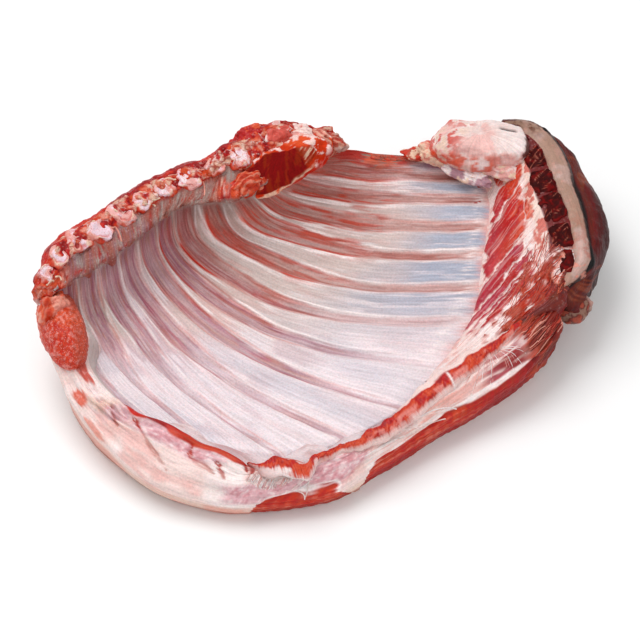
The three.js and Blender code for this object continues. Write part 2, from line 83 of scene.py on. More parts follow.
firstPlace, lastPlace = 0.5, 13.6  # the lining ends here, counted in ribs from the neck
capRows = 6  # rings in each rounded end


# Curves through the lines, noise and colours
def ease(low, high, x):
    t = np.clip((np.asarray(x, float) - low) / (high - low), 0, 1)
    return t * t * (3 - 2 * t)


def fade(low, high, x):
    return 1 - ease(low, high, x)


def mix(a, b, t):
    return a + (b - a) * t


def bump(x, middle, width):
    return np.exp(-((np.asarray(x, float) - middle) / width) ** 2)


def smooth(xs, rows, x):
    h = np.diff(xs)
    shape = (-1,) + (1,) * (rows.ndim - 1)
    step = np.diff(rows, axis=0) / h.reshape(shape)
    before, after = h[:-1].reshape(shape), h[1:].reshape(shape)
    inner = (step[:-1] * after + step[1:] * before) / (before + after)
    slope = np.concatenate([1.5 * step[:1] - 0.5 * inner[:1], inner, 1.5 * step[-1:] - 0.5 * inner[-1:]])
    x = np.atleast_1d(np.asarray(x, float))
    i = np.clip(np.searchsorted(xs, x, "right") - 1, 0, len(xs) - 2)
    t = ((x - xs[i]) / h[i]).reshape(shape)
    size = h[i].reshape(shape)
    start = 2 * t ** 3 - 3 * t ** 2 + 1
    leave = (t ** 3 - 2 * t ** 2 + t) * size
    arrive = (t ** 3 - t ** 2) * size
    return start * rows[i] + (1 - start) * rows[i + 1] + leave * slope[i] + arrive * slope[i + 1]


def linePoints(line, share):
    return smooth(np.linspace(0, 1, len(line)), line, share)


def unit(v):
    return v / np.maximum(np.linalg.norm(v, axis=-1, keepdims=True), 1e-12)


def rightOf(path, x):  # the level direction to the right of a path
    along = path(x + 1e-3) - path(x - 1e-3)
    return unit(np.stack([along[:, 1], -along[:, 0], 0 * along[:, 0]], -1))


def lining(shares, places):  # a grid of points of the lining: share 0 at the backbone, 1 at the costal arch
    across = smooth(guideRibs, guideLines.transpose(1, 0, 2), places)
    return smooth(guideShares, across.transpose(1, 0, 2), shares)


def outward(share, places):
    e = 1e-3
    along = lining([share + e], places) - lining([share - e], places)
    over = lining([share], places + e) - lining([share], places - e)
    return unit(np.cross(along, over))[0]


def chinePoints(place):
    return smooth(guideRibs, chineLine, place)


def sternumPoints(share):
    return linePoints(sternumLine, share)


def cloud(points, size, seed):  # smooth noise from -1 to 1, with lumps of about this size in mm
    cells, shift, gain = 24, 120.37, 1.4  # after so many cells it repeats
    table = np.random.default_rng(seed).uniform(-1, 1, (cells, cells, cells))
    q = points / size + shift
    cell = np.floor(q).astype(int)
    f = q - cell
    f = f * f * (3 - 2 * f)
    total = 0
    for corner in np.ndindex(2, 2, 2):
        gap = np.abs(1 - np.array(corner) - f)
        x, y, z = np.moveaxis((cell + corner) % cells, -1, 0)
        total = total + gap[..., 0] * gap[..., 1] * gap[..., 2] * table[x, y, z]
    return total * gain


def power(x, exponent):
    return np.sign(x) * np.abs(x) ** exponent


def clouds(points, size, seed, layers=3):
    return sum(cloud(points, size / 2 ** k, seed + k) / 2 ** k for k in range(layers))


def streak(run, across, long, wide, seed, layers=2):  # noise drawn out along the fibres
    return clouds(np.stack([run / long, across / wide, 0 * run], -1), 1, seed, layers)


def tone(red, green, blue):  # a colour as the screen shows it, made linear
    c = np.array([red, green, blue]) / 255
    return np.where(c <= 0.04045, c / 12.92, ((c + 0.055) / 1.055) ** 2.4)


def paint(base, shade, amount):  # the shade is the name of a tone, or a colour
    colour = tones[shade] if isinstance(shade, str) else shade
    return base + (colour - base) * np.clip(amount, 0, 1)[..., None]


def coats(tint, *layers):  # layers of paint, one over the other: shade and amount
    for shade, amount in layers:
        tint = paint(tint, shade, amount)
    return tint


def plain(shade, points):
    return np.broadcast_to(tones[shade], points.shape).copy()


screenTones = {
    "membrane": (214, 188, 184), "white": (233, 219, 223), "blue": (166, 170, 186), "pale": (246, 232, 230),
    "beige": (184, 152, 143), "lilac": (198, 170, 180), "violet": (162, 104, 124), "mauve": (178, 116, 108),
    "brown": (166, 92, 78), "rust": (178, 88, 72), "olive": (128, 100, 84), "redLine": (200, 56, 38),
    "rose": (226, 158, 150), "blood": (178, 38, 28), "meat": (198, 70, 52), "meatDark": (136, 36, 27),
    "orange": (216, 92, 64), "fat": (240, 214, 209), "cream": (228, 196, 172), "peach": (226, 150, 134),
    "pink": (230, 164, 158), "bone": (232, 204, 214), "magenta": (178, 62, 78), "marrow": (84, 24, 17),
    "dried": (92, 42, 34), "driedDark": (44, 18, 14), "buff": (170, 136, 120), "ash": (188, 180, 172),
    "veil": (219, 168, 176), "face": (130, 27, 14), "umber": (104, 54, 41),
}
tones = {name: tone(*rgb) for name, rgb in screenTones.items()}


# Meshes from grids of points, in mm
def normalsOf(grid, closed=True):
    first = np.gradient(grid, axis=0)
    second = (np.roll(grid, -1, 1) - np.roll(grid, 1, 1)) if closed else np.gradient(grid, axis=1)
    return unit(np.cross(first, second))


def roundRings(rings, counts):  # smooth closed rings through the control points, with counts points a stretch
    loop = np.concatenate([rings[:, -3:], rings, rings[:, :3]], 1)
    result = []
    for ring in loop:
        chords = np.maximum(np.linalg.norm(np.diff(ring[:, :3], axis=0), axis=1), 0.5)
        xs = np.concatenate([[0], np.cumsum(chords)])
        at = [xs[k + 3] + (xs[k + 4] - xs[k + 3]) * np.arange(n) / n for k, n in enumerate(counts)]
        result.append(smooth(xs, ring, np.concatenate(at)))
    return np.array(result)


def tubeRings(controls, counts, bulge, *columns):  # rings through lines of control points, each at its place round
    rings = [np.column_stack([points, np.full(len(points), around), *columns]) for around, points in controls]
    return capped(roundRings(np.stack(rings, 1), counts), bulge)


def capped(rings, bulge, steps=capRows, close=0.97):  # rings with rounded ends that close to a small hole
    turns = np.linspace(0, 1, steps + 1)[1:] * math.pi / 2 * close
    ends = []
    for ring, inner in ((rings[0], rings[2]), (rings[-1], rings[-3])):
        middle = ring[:, :3].mean(0)
        away = unit(middle - inner[:, :3].mean(0))
        extra = np.repeat(ring[None], steps, 0)
        for k, turn in enumerate(turns):
            extra[k, :, :3] = middle + (ring[:, :3] - middle) * math.cos(turn) + away * bulge * math.sin(turn)
        ends.append(extra)
    return np.concatenate([ends[0][::-1], rings, ends[1]])


def raised(rings, height):
    normal = normalsOf(rings[..., :3])
    centre = rings[..., :3].mean(1, keepdims=True)
    sign = np.sign(((rings[..., :3] - centre) * normal).sum())
    result = rings.copy()
    result[..., :3] += normal * sign * height[..., None]
    return result


def ringFaces(rows, columns):
    faces = []
    for i in range(rows - 1):
        a = i * columns
        for j in range(columns):
            k = (j + 1) % columns
            faces.append((a + j, a + k, a + columns + k, a + columns + j))
    faces.append(tuple(range(columns - 1, -1, -1)))
    faces.append(tuple((rows - 1) * columns + j for j in range(columns)))
    return faces


def fillAttributes(mesh, tint, flow):
    rgba = np.ones((len(mesh.vertices), 4))
    rgba[:, :3] = np.clip(tint.reshape(-1, 3), 0.003, 1)
    mesh.attributes.new("tint", "FLOAT_COLOR", "POINT").data.foreach_set("color", rgba.ravel())
    lines = flow.reshape(-1, 3).astype(float).ravel()
    mesh.attributes.new("flow", "FLOAT_VECTOR", "POINT").data.foreach_set("vector", lines)


def addObject(name, mesh):
    piece = bpy.data.objects.new(name, mesh)
    bpy.context.collection.objects.link(piece)
    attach(piece, "root")
    print("made", name, len(mesh.polygons), "faces")
    return piece


def addPiece(name, points, faces, tint, flow, material, nodes=()):
    mesh = bpy.data.meshes.new(name)
    points = points.reshape(-1, 3) + toCentre
    points[:, 2] = np.maximum(points[:, 2], 0)  # nothing goes below the table
    mesh.from_pydata((points * mm).tolist(), [], faces)
    fillAttributes(mesh, tint.reshape(-1, 3) * 1.03 - 0.03, flow)  # room for the gloss on top
    shell = bmesh.new()
    shell.from_mesh(mesh)
    bmesh.ops.recalc_face_normals(shell, faces=shell.faces)
    shell.to_mesh(mesh)
    shell.free()
    mesh.shade_smooth()
    mesh.materials.append(material)
    piece = addObject(name, mesh)
    if nodes:
        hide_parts(*nodes)


def flowAlong(rings, across=1.0):  # mm along the piece and mm round it
    step = np.linalg.norm(np.diff(rings[..., :3].mean(1), axis=0), axis=1)
    length = np.concatenate([[0], np.cumsum(step)])[:, None]
    turn = np.linalg.norm(np.diff(rings[..., :3], axis=1, append=rings[:, :1, :3]), axis=2)
    girth = np.cumsum(turn.mean(0)) * across
    flow = np.zeros(rings.shape[:2] + (3,))
    flow[..., 0] = length
    flow[..., 1] = girth
    return flow


def addTube(name, rings, tint, material, nodes=(), flow=None):
    flow = flowAlong(rings) if flow is None else flow
    addPiece(name, rings[..., :3], ringFaces(*rings.shape[:2]), tint, flow, material, nodes)


# Wet surfaces: the piece's own colours, with streaks along its fibres, a fine grain and a moist gloss
def addNode(tree, kind, inputs=None, **values):  # each input is a value, or another node's output to link
    made = tree.nodes.new(kind)
    for key, value in values.items():
        setattr(made, key, value)
    for key, value in (inputs or {}).items():
        if isinstance(value, bpy.types.NodeSocket):
            tree.links.new(value, made.inputs[key])
        else:
            made.inputs[key].default_value = value
    return made


def wetSurface(name, look):
    material = bpy.data.materials.new(name)
    material.use_nodes = True
    tree = material.node_tree
    tree.nodes.clear()

    def node(kind, output, inputs=None, **values):
        return addNode(tree, kind, inputs, **values).outputs[output]

    def number(source, low, high, to):
        return node("ShaderNodeMapRange", "Result", {
            "Value": source, "From Min": low, "From Max": high, "To Min": to[0], "To Max": to[1],
        })

    tint = node("ShaderNodeAttribute", "Color", attribute_name="tint")
    flow = node("ShaderNodeAttribute", "Vector", attribute_name="flow")
    place = node("ShaderNodeTexCoord", "Object")
    stretch = node("ShaderNodeMapping", "Vector", {
        "Vector": flow, "Scale": (1 / look["streakLength"], 1 / look["streakWidth"], 1),
    })
    streaks = node("ShaderNodeTexNoise", "Fac", {"Vector": stretch, "Scale": 1, "Detail": 4})
    grain = node("ShaderNodeTexNoise", "Fac", {"Vector": place, "Scale": 1 / (look["grainSize"] * mm), "Detail": 3})
    cells = node("ShaderNodeTexVoronoi", "Distance", {"Vector": place, "Scale": 1 / (look["fleckSize"] * mm)})

    middle = (0.3, 0.7)  # the part of the noise's range that counts
    shade = number(streaks, *middle, (1 - look["streak"], 1 + look["streak"]))
    speckle = number(grain, *middle, (1 - look["grain"], 1 + look["grain"]))
    both = node("ShaderNodeMath", "Value", {0: shade, 1: speckle}, operation="MULTIPLY")
    shaded = node("ShaderNodeVectorMath", "Vector", {0: tint, "Scale": both}, operation="SCALE")
    fleck = number(cells, 0.12, 0.35, (look["fleck"], 0))
    spotted = node("ShaderNodeMix", "Result", {
        "Factor": fleck, "A": shaded, "B": (*look["fleckTone"], 1),
    }, data_type="RGBA")
    relief = node("ShaderNodeMath", "Value", {
        0: streaks, 1: look["streakRelief"], 2: grain,
    }, operation="MULTIPLY_ADD")
    lift = node("ShaderNodeBump", "Normal", {
        "Strength": look["reliefStrength"], "Distance": look["relief"] * mm, "Height": relief,
    })
    shader = node("ShaderNodeBsdfPrincipled", "BSDF", {
        "Base Color": spotted, "Roughness": number(grain, *middle, look["roughness"]), "Normal": lift,
        "Subsurface Weight": look["soft"], "Subsurface Radius": (1, 0.35, 0.25),
        "Subsurface Scale": look["softDepth"] * mm, "Coat Weight": look["coat"],
        "Coat Roughness": look["coatRoughness"], "Specular IOR Level": look["gloss"],
    })
    addNode(tree, "ShaderNodeOutputMaterial", {"Surface": shader})
    return material


plainLook = {
    "streakLength": 30, "streakWidth": 1.6, "streak": 0.12, "grainSize": 1.6, "grain": 0.06,
    "fleckSize": 5, "fleck": 0.0, "fleckTone": tones["fat"], "streakRelief": 1.0, "reliefStrength": 0.5,
    "relief": 0.7, "roughness": (0.36, 0.52), "soft": 0.1, "softDepth": 2.5, "coat": 0.08,
    "coatRoughness": 0.18, "gloss": 0.3,
}
membraneSkin = wetSurface("liningMembrane", {
    **plainLook, "streak": 0.13, "grain": 0.1, "relief": 1.1, "roughness": (0.3, 0.45), "coat": 0.25,
})
cutMeat = wetSurface("cutMeat", {
    **plainLook, "streakLength": 14, "streakWidth": 1.2, "streak": 0.22, "grain": 0.12, "fleck": 0.1,
    "fleckSize": 3.2, "relief": 1.0,
})
lumpyMeat = wetSurface("lumpyMeat", {
    **plainLook, "streakLength": 6, "streakWidth": 2.4, "streak": 0.12, "grain": 0.2, "grainSize": 1.2,
    "fleck": 0.15, "fleckSize": 2.6, "relief": 1.2, "gloss": 0.2, "coat": 0.05,
})
softFat = wetSurface("softFat", {
    **plainLook, "streakLength": 24, "streakWidth": 1.8, "streak": 0.12, "grainSize": 1.8, "grain": 0.09,
    "relief": 1.1, "roughness": (0.4, 0.58), "soft": 0.14,
})
sawnBone = wetSurface("sawnBone", {
    **plainLook, "streak": 0.06, "grainSize": 0.9, "grain": 0.14, "fleck": 0.5, "fleckSize": 1.7,
    "fleckTone": tones["meat"], "roughness": (0.35, 0.5),
})
grainyMeat = wetSurface("grainyMeat", {
    **plainLook, "streakLength": 4, "streakWidth": 1.2, "streak": 0.22, "grain": 0.2, "grainSize": 1.1,
    "fleck": 0.55, "fleckSize": 1.5, "fleckTone": tones["pink"], "relief": 1.0,
})
smoothMeat = wetSurface("smoothMeat", {
    **plainLook, "streakLength": 18, "streakWidth": 2.0, "streak": 0.14, "coat": 0.12,
})
marrowMeat = wetSurface("marrowMeat", {
    **plainLook, "streakLength": 6, "streakWidth": 1.2, "streak": 0.2, "grain": 0.2, "relief": 0.8, "soft": 0,
    "gloss": 0.05, "coat": 0.0,
})
darkFace = wetSurface("darkFace", {
    **plainLook, "streakLength": 18, "streakWidth": 1.6, "streak": 0.2, "grain": 0.1, "gloss": 0.06, "coat": 0.0,
    "soft": 0.0,
})
driedMeat = wetSurface("driedMeat", {
    **plainLook, "streakLength": 22, "streakWidth": 1.8, "streak": 0.25, "grain": 0.2, "relief": 1.2,
    "roughness": (0.42, 0.62), "soft": 0.04, "coat": 0.02, "gloss": 0.2,
})
print("materials made")


# Strands of sinew and fat that lie on a surface: lines on its grid, made into tapered cords with Geometry Nodes
def gridPoints(grid, rows, columns):
    i, j = np.floor(rows).astype(int), np.floor(columns).astype(int)
    a, b = (rows - i)[..., None], (columns - j)[..., None]
    i, j, across = np.clip(i, 0, grid.shape[0] - 2), j % grid.shape[1], grid.shape[1]
    near = mix(grid[i, j], grid[i, (j + 1) % across], b)
    far = mix(grid[i + 1, j], grid[i + 1, (j + 1) % across], b)
    return mix(near, far, a)


def lastRow(rings):  # where strands may start, just before the rounded end
    return len(rings) - capRows - 2


def randomSpans(count, seed, rows, columns, reach, spread=0.2):  # start row and column, end row and column
    dice = np.random.default_rng(seed)
    start = np.stack([dice.uniform(*rows, count), dice.uniform(*columns, count)], -1)
    length = dice.uniform(0.5, 1.3, (count, 1))
    step = np.array(reach, float) * length + dice.normal(0, spread, (count, 2)) * np.abs(reach).max() * length
    return np.concatenate([start, start + step], 1)


strandLook = {
    "steps": 9, "sides": 6, "thickness": 0.45, "wobble": 0.5, "wobbleSize": 5, "lift": 0.5, "waver": 0.15,
}


def strandNodes(name, look):
    tree = bpy.data.node_groups.new(name, "GeometryNodeTree")
    face = tree.interface
    face.new_socket("Geometry", in_out="INPUT", socket_type="NodeSocketGeometry")
    for label, value in (("Thickness", look["thickness"] * mm), ("Wobble", look["wobble"] * mm)):
        face.new_socket(label, in_out="INPUT", socket_type="NodeSocketFloat").default_value = value
    face.new_socket("Material", in_out="INPUT", socket_type="NodeSocketMaterial")
    face.new_socket("Geometry", in_out="OUTPUT", socket_type="NodeSocketGeometry")

    def node(kind, output, inputs=None, **values):
        return addNode(tree, kind, inputs, **values).outputs[output]

    given = addNode(tree, "NodeGroupInput").outputs
    curve = node("GeometryNodeMeshToCurve", "Curve", {"Mesh": given["Geometry"]})
    noise = node("ShaderNodeTexNoise", "Color", {"Scale": 1 / (look["wobbleSize"] * mm)})
    middle = node("ShaderNodeVectorMath", "Vector", {0: noise, 1: (0.5, 0.5, 0.5)}, operation="SUBTRACT")
    sized = node("ShaderNodeVectorMath", "Vector", {0: middle, "Scale": given["Wobble"]}, operation="SCALE")
    moved = node("GeometryNodeSetPosition", "Geometry", {"Geometry": curve, "Offset": sized})
    along = node("GeometryNodeSplineParameter", "Factor")
    taper = addNode(tree, "ShaderNodeFloatCurve", {"Value": along})
    points = taper.mapping.curves[0].points
    points[0].location, points[1].location = (0, 0.5), (1, 0.15)
    points.new(0.35, 1)
    taper.mapping.update()
    radius = node("GeometryNodeSetCurveRadius", "Curve", {"Curve": moved, "Radius": taper.outputs["Value"]})
    profile = node("GeometryNodeCurvePrimitiveCircle", "Curve", {
        "Resolution": look["sides"], "Radius": given["Thickness"],
    })
    cord = node("GeometryNodeCurveToMesh", "Mesh", {"Curve": radius, "Profile Curve": profile, "Fill Caps": True})
    real = node("GeometryNodeRealizeInstances", "Geometry", {"Geometry": cord})
    coated = node("GeometryNodeSetMaterial", "Geometry", {"Geometry": real, "Material": given["Material"]})
    addNode(tree, "NodeGroupOutput", {"Geometry": coated})
    identifiers = {item.name: item.identifier for item in face.items_tree if item.in_out == "INPUT"}
    return tree, identifiers


def addStrands(name, grid, spans, shades, slot, seed, **changes):
    look = {**strandLook, **changes}
    dice = np.random.default_rng(seed)
    spans, steps = np.array(spans, float), look["steps"]
    t = np.linspace(0, 1, steps)
    count = len(spans)
    across = spans[:, 2:] - spans[:, :2]
    bow = dice.normal(0, look["waver"], (count, 1)) * np.sin(math.pi * t)[None]
    rows = spans[:, :1] + across[:, :1] * t + bow * np.abs(across).sum(1, keepdims=True) * 0.5
    columns = spans[:, 1:2] + across[:, 1:] * t - bow * np.abs(across).sum(1, keepdims=True) * 0.5
    normal = normalsOf(grid)
    normal = normal * np.sign(((grid - grid.mean(1, keepdims=True)) * normal).sum())
    rise = look["lift"] * (0.4 + np.sin(math.pi * t)) - 0.25
    points = gridPoints(grid, rows, columns) + gridPoints(normal, rows, columns) * rise[None, :, None]
    tint = np.array([tones[shade] for shade in dice.choice(shades, count)])
    tint = np.repeat(tint[:, None], steps, 1) * dice.uniform(0.86, 1.04, (count, 1, 1))
    mesh = bpy.data.meshes.new(name)
    index = np.arange(count * steps).reshape(count, steps)
    edges = np.stack([index[:, :-1].ravel(), index[:, 1:].ravel()], -1)
    mesh.from_pydata(((points.reshape(-1, 3) + toCentre) * mm).tolist(), edges.tolist(), [])
    fillAttributes(mesh, tint, points)
    lines = bpy.data.objects.new(name + "Lines", mesh)
    bpy.context.collection.objects.link(lines)
    tree, identifiers = strandNodes(name, look)
    modifier = lines.modifiers.new(name, "NODES")
    modifier.node_group = tree
    modifier[identifiers["Thickness"]] = look["thickness"] * mm
    modifier[identifiers["Wobble"]] = look["wobble"] * mm
    modifier[identifiers["Material"]] = softFat
    ready = lines.evaluated_get(bpy.context.evaluated_depsgraph_get())
    plain = bpy.data.meshes.new_from_object(ready)
    plain.shade_smooth()
    bpy.data.objects.remove(lines)
    addObject(name, plain)


# The lining over the ribs, and the outside of the wall under it
liningSizes = {
    "rows": 150, "columns": 560, "underRows": 70, "underColumns": 190, "ribProud": 1.9, "bandDepth": 1.5,
    "band": 6.3, "thickness": 16.5, "archThickness": 25, "neckThin": 0.55, "sag": 5, "rimSink": 3,
}


def zipLoops(first, firstAt, second, secondAt):  # triangles between two closed loops of points
    faces = []
    i = j = 0
    n, m = len(first), len(second)
    while i < n or j < m:
        nextFirst = firstAt[i + 1] if i < n else 9
        nextSecond = secondAt[j + 1] if j < m else 9
        if nextFirst <= nextSecond:
            faces.append((first[i], first[(i + 1) % n], second[j % m]))
            i += 1
        else:
            faces.append((first[i % n], second[(j + 1) % m], second[j]))
            j += 1
    return faces


def gridRim(rows, columns, start):  # the rim of a grid, and how far round it each point is, from 0 to 4
    index = np.arange(rows * columns).reshape(rows, columns) + start
    sides = [index[0, :-1], index[:-1, -1], index[-1, :0:-1], index[:0:-1, 0]]
    at = np.concatenate([k + np.arange(len(side)) / len(side) for k, side in enumerate(sides)] + [[4]])
    return np.concatenate(sides).tolist(), at


def gridFaces(rows, columns, start=0):
    index = np.arange(rows * columns).reshape(rows, columns) + start
    corners = [index[:-1, :-1], index[:-1, 1:], index[1:, 1:], index[1:, :-1]]
    return np.stack([c.ravel() for c in corners], -1).tolist()


def liningTint(s, p, points, side, half, fibre, fine):
    run, band = s * ribLength, np.floor(p)
    wide = clouds(points, 42, 3)
    offSide = np.abs(side)
    right = ease(0.5, 0.78, s + 0.07 * wide) * fade(5.2, 7.6, p)
    left = ease(8, 10.5, p) * fade(0.45, 0.85, s + 0.15 * wide)
    nearSpine = fade(0.02, 0.36, s + 0.05 * wide) * fade(8.5, 11.5, p)
    lower = ease(0.35, 0.7, s) * ease(4.5, 7, p)
    tint = coats(
        plain("membrane", points),
        ("white", ease(0.3, 0.75, s + 0.1 * wide) * ease(4.5, 8, p)),
        ("blue", right * ease(half, half + 6, offSide + 1.5 * fine)),
        ("lilac", 0.75 * left * ease(-0.4, 0.5, wide + 0.4 * fibre)),
        ("beige", 0.85 * nearSpine),
        ("ash", 0.7 * left * fade(0.3, 0.6, s) * ease(-0.4, 0.3, -wide + 0.5 * fibre)),
        ("mauve", 0.5 * fade(1.2, 4.2, p) * fade(0.4, 0.75, s)),
        ("white", 0.7 * ease(0.15, 0.7, fibre + 0.5 * wide) * (1 - nearSpine)),
        ("pink", mix(0.26, 0.1, lower) * ease(0.2, 0.8, streak(run, p * ribPitch, 60, 5, 15)) * (1 - right)),
        ("blue", 0.3 * lower * ease(-0.3, 0.8, streak(run, p * ribPitch, 46, 13, 16))),
        ("ash", 0.4 * fade(0.5, 0.85, s) * ease(1, 3, p) * fade(6.5, 9, p)),
    )

    ends = ease(0.004, 0.03, s) * (1 - ease(0.93, 0.99, s + 0.02 * fibre) * fade(7.5, 8.5, p)) * ease(0.6, 0.9, p)
    faint = ease(0.62, 0.92, s) * bump(p, 7.4, 1.3)
    ends = ends * (1 - 0.8 * faint) * (1 - 0.45 * bump(s, 0.6, 0.2) * ease(8, 10, p))
    rough = 1 - 0.6 * ease(0.42, 0.72, s) * fade(5.5, 7.5, p)
    inBand = fade(half - 1.1, half + 1.1, offSide + rough * (1.1 * fibre + 0.7 * fine)) * ends
    inBand = inBand * mix(0.62, 1, ease(-0.5, 0.3, streak(run, p * ribPitch, 60, 4, 19)))
    brownish = fade(0.2, 0.75, s) * fade(5.5, 8, p)
    blots = streak(run, p * ribPitch, 22, 5, 23, 3)
    bandTone = coats(
        plain("mauve", points),
        ("brown", 0.9 * ease(0, 0.5, fine + 0.35) * brownish),
        ("violet", 0.9 * ease(5.5, 8, p) * ease(-0.9, 0.0, fine)),
        ("magenta", 0.5 * ease(6.5, 8.5, p) * ease(0.1, 0.6, blots) * ease(0.12, 0.3, s)),
        ("membrane", 0.25 * ease(9, 11, p) * fade(0.7, 0.9, s) * ease(-0.2, 0.5, fibre)),
        ("membrane", 0.35 * ease(0.25, 0.75, fine)),
        ("meatDark", 0.28 * ease(0.2, 0.7, -fine) * fade(7, 9, p)),
        ("redLine", 0.5 * brownish * ease(0.1, 0.6, blots + 0.4 * fine) * ease(1, 2, p)),
    )
    tint = paint(tint, bandTone, inBand * 0.95)

    lowEdge = np.where(side > 0, 1.0, 0.55)
    broken = streak(run, band * 9 + np.sign(side), 30, 1, 21)
    redness = ease(0.03, 0.1, s) * fade(0.4, 0.68, s) * ease(1.1, 1.9, p) * (1 - 0.85 * ease(7.5, 10, p))
    # shine is a painted highlight: a pale streak on the rib beside one edge of each band, near the backbone
    shine = bump(side + 0.8 * fibre, half + 4.5, 2.2) * ease(0.04, 0.12, s) * fade(0.5, 0.75, s)
    redLine = bump(offSide + 0.5 * fibre, half + 0.4, 1.2) * ease(-0.35, 0.1, broken)
    hot = bump(side + 0.5 * fine, half + 1.6, 0.7) * ease(0.0, 0.4, broken + 0.4 * fibre)
    low = ease(5.5, 8, p) * ease(0.3, 0.5, s) * fade(0.9, 0.98, s) * ends
    patches = streak(run, p * ribPitch, 30, 3.2, 33, 3) + 0.25 * fibre
    lean = mix(0.3, 1, ease(half + 6, half + 1, offSide))
    tint = coats(
        tint,
        ("pale", 0.9 * shine * fade(7, 9, p) * ease(-0.5, 0.1, broken + 0.4 * fine)),
        ("redLine", redLine * redness * lowEdge),
        ("orange", 0.9 * hot * redness * fade(6, 8, p)),
        ("magenta", 0.8 * low * bump(side + 0.5 * fibre, half + 0.2, 0.7) * ease(-0.1, 0.4, broken)),
        ("lilac", 0.35 * low * ease(0.2, 0.7, -wide + 0.4 * fibre)),
        ("rose", 0.6 * bump(offSide, half + 1.0, 0.8) * ends * ease(-0.3, 0.4, -broken)),
        # painted highlights: thin pale lines along both edges of each band
        ("pale", 0.85 * bump(offSide + 0.5 * fine, half + 2.6, 0.9) * ends * ease(-0.4, 0.5, broken)),
        ("brown", 0.3 * fade(2.5, 4.5, p) * fade(0.4, 0.65, s) * ease(-0.4, 0.3, fibre)),
        ("redLine", 0.9 * ease(0.4, 0.7, patches) * redness * lean * fade(3, 7.5, p)),
        ("rust", 0.5 * ease(0.15, 0.6, patches) * redness * lean * fade(6, 9, p)),
    )
    # painted shade: the lining is darkened by up to a third next to the backbone meat, which shades it
    tint = tint * (1 - 0.32 * fade(0.015, 0.09, s + 0.01 * fine) * ease(2, 4, p))[..., None]

    neckEdge = fade(0.85, 1.4, p + 0.15 * fibre) * fade(0.55, 0.75, s)
    loinEnd = ease(13.5, 13.7, p) * fade(0.02, 0.08, s)
    stripe = bump(p, 0.95, 0.22) * ease(0.66, 0.76, s)
    tint = coats(
        tint,
        ("olive", 0.75 * neckEdge),
        ("blood", 0.85 * neckEdge * ease(-0.3, 0.2, broken + 0.4 * fine)),
        ("orange", 0.7 * neckEdge * ease(0.1, 0.4, -broken + 0.3 * fine)),
        ("rust", loinEnd),
        ("violet", 0.8 * stripe),
        ("rose", 0.7 * ease(0.955, 0.995, s + 0.012 * fine) * fade(6.5, 8, p)),
        ("pale", 0.6 * bump(s, 0.94, 0.02) * fade(7, 8.5, p) * ease(0, 0.5, fine)),
    )
    for share, place in ((0.94, 1.75), (0.955, 1.95), (0.945, 2.55), (0.93, 2.62)):
        spot = bump(s, share, 0.006) * bump(p, place, 0.05)
        tint = paint(tint, "blood", ease(0.25, 0.6, spot))
    return tint


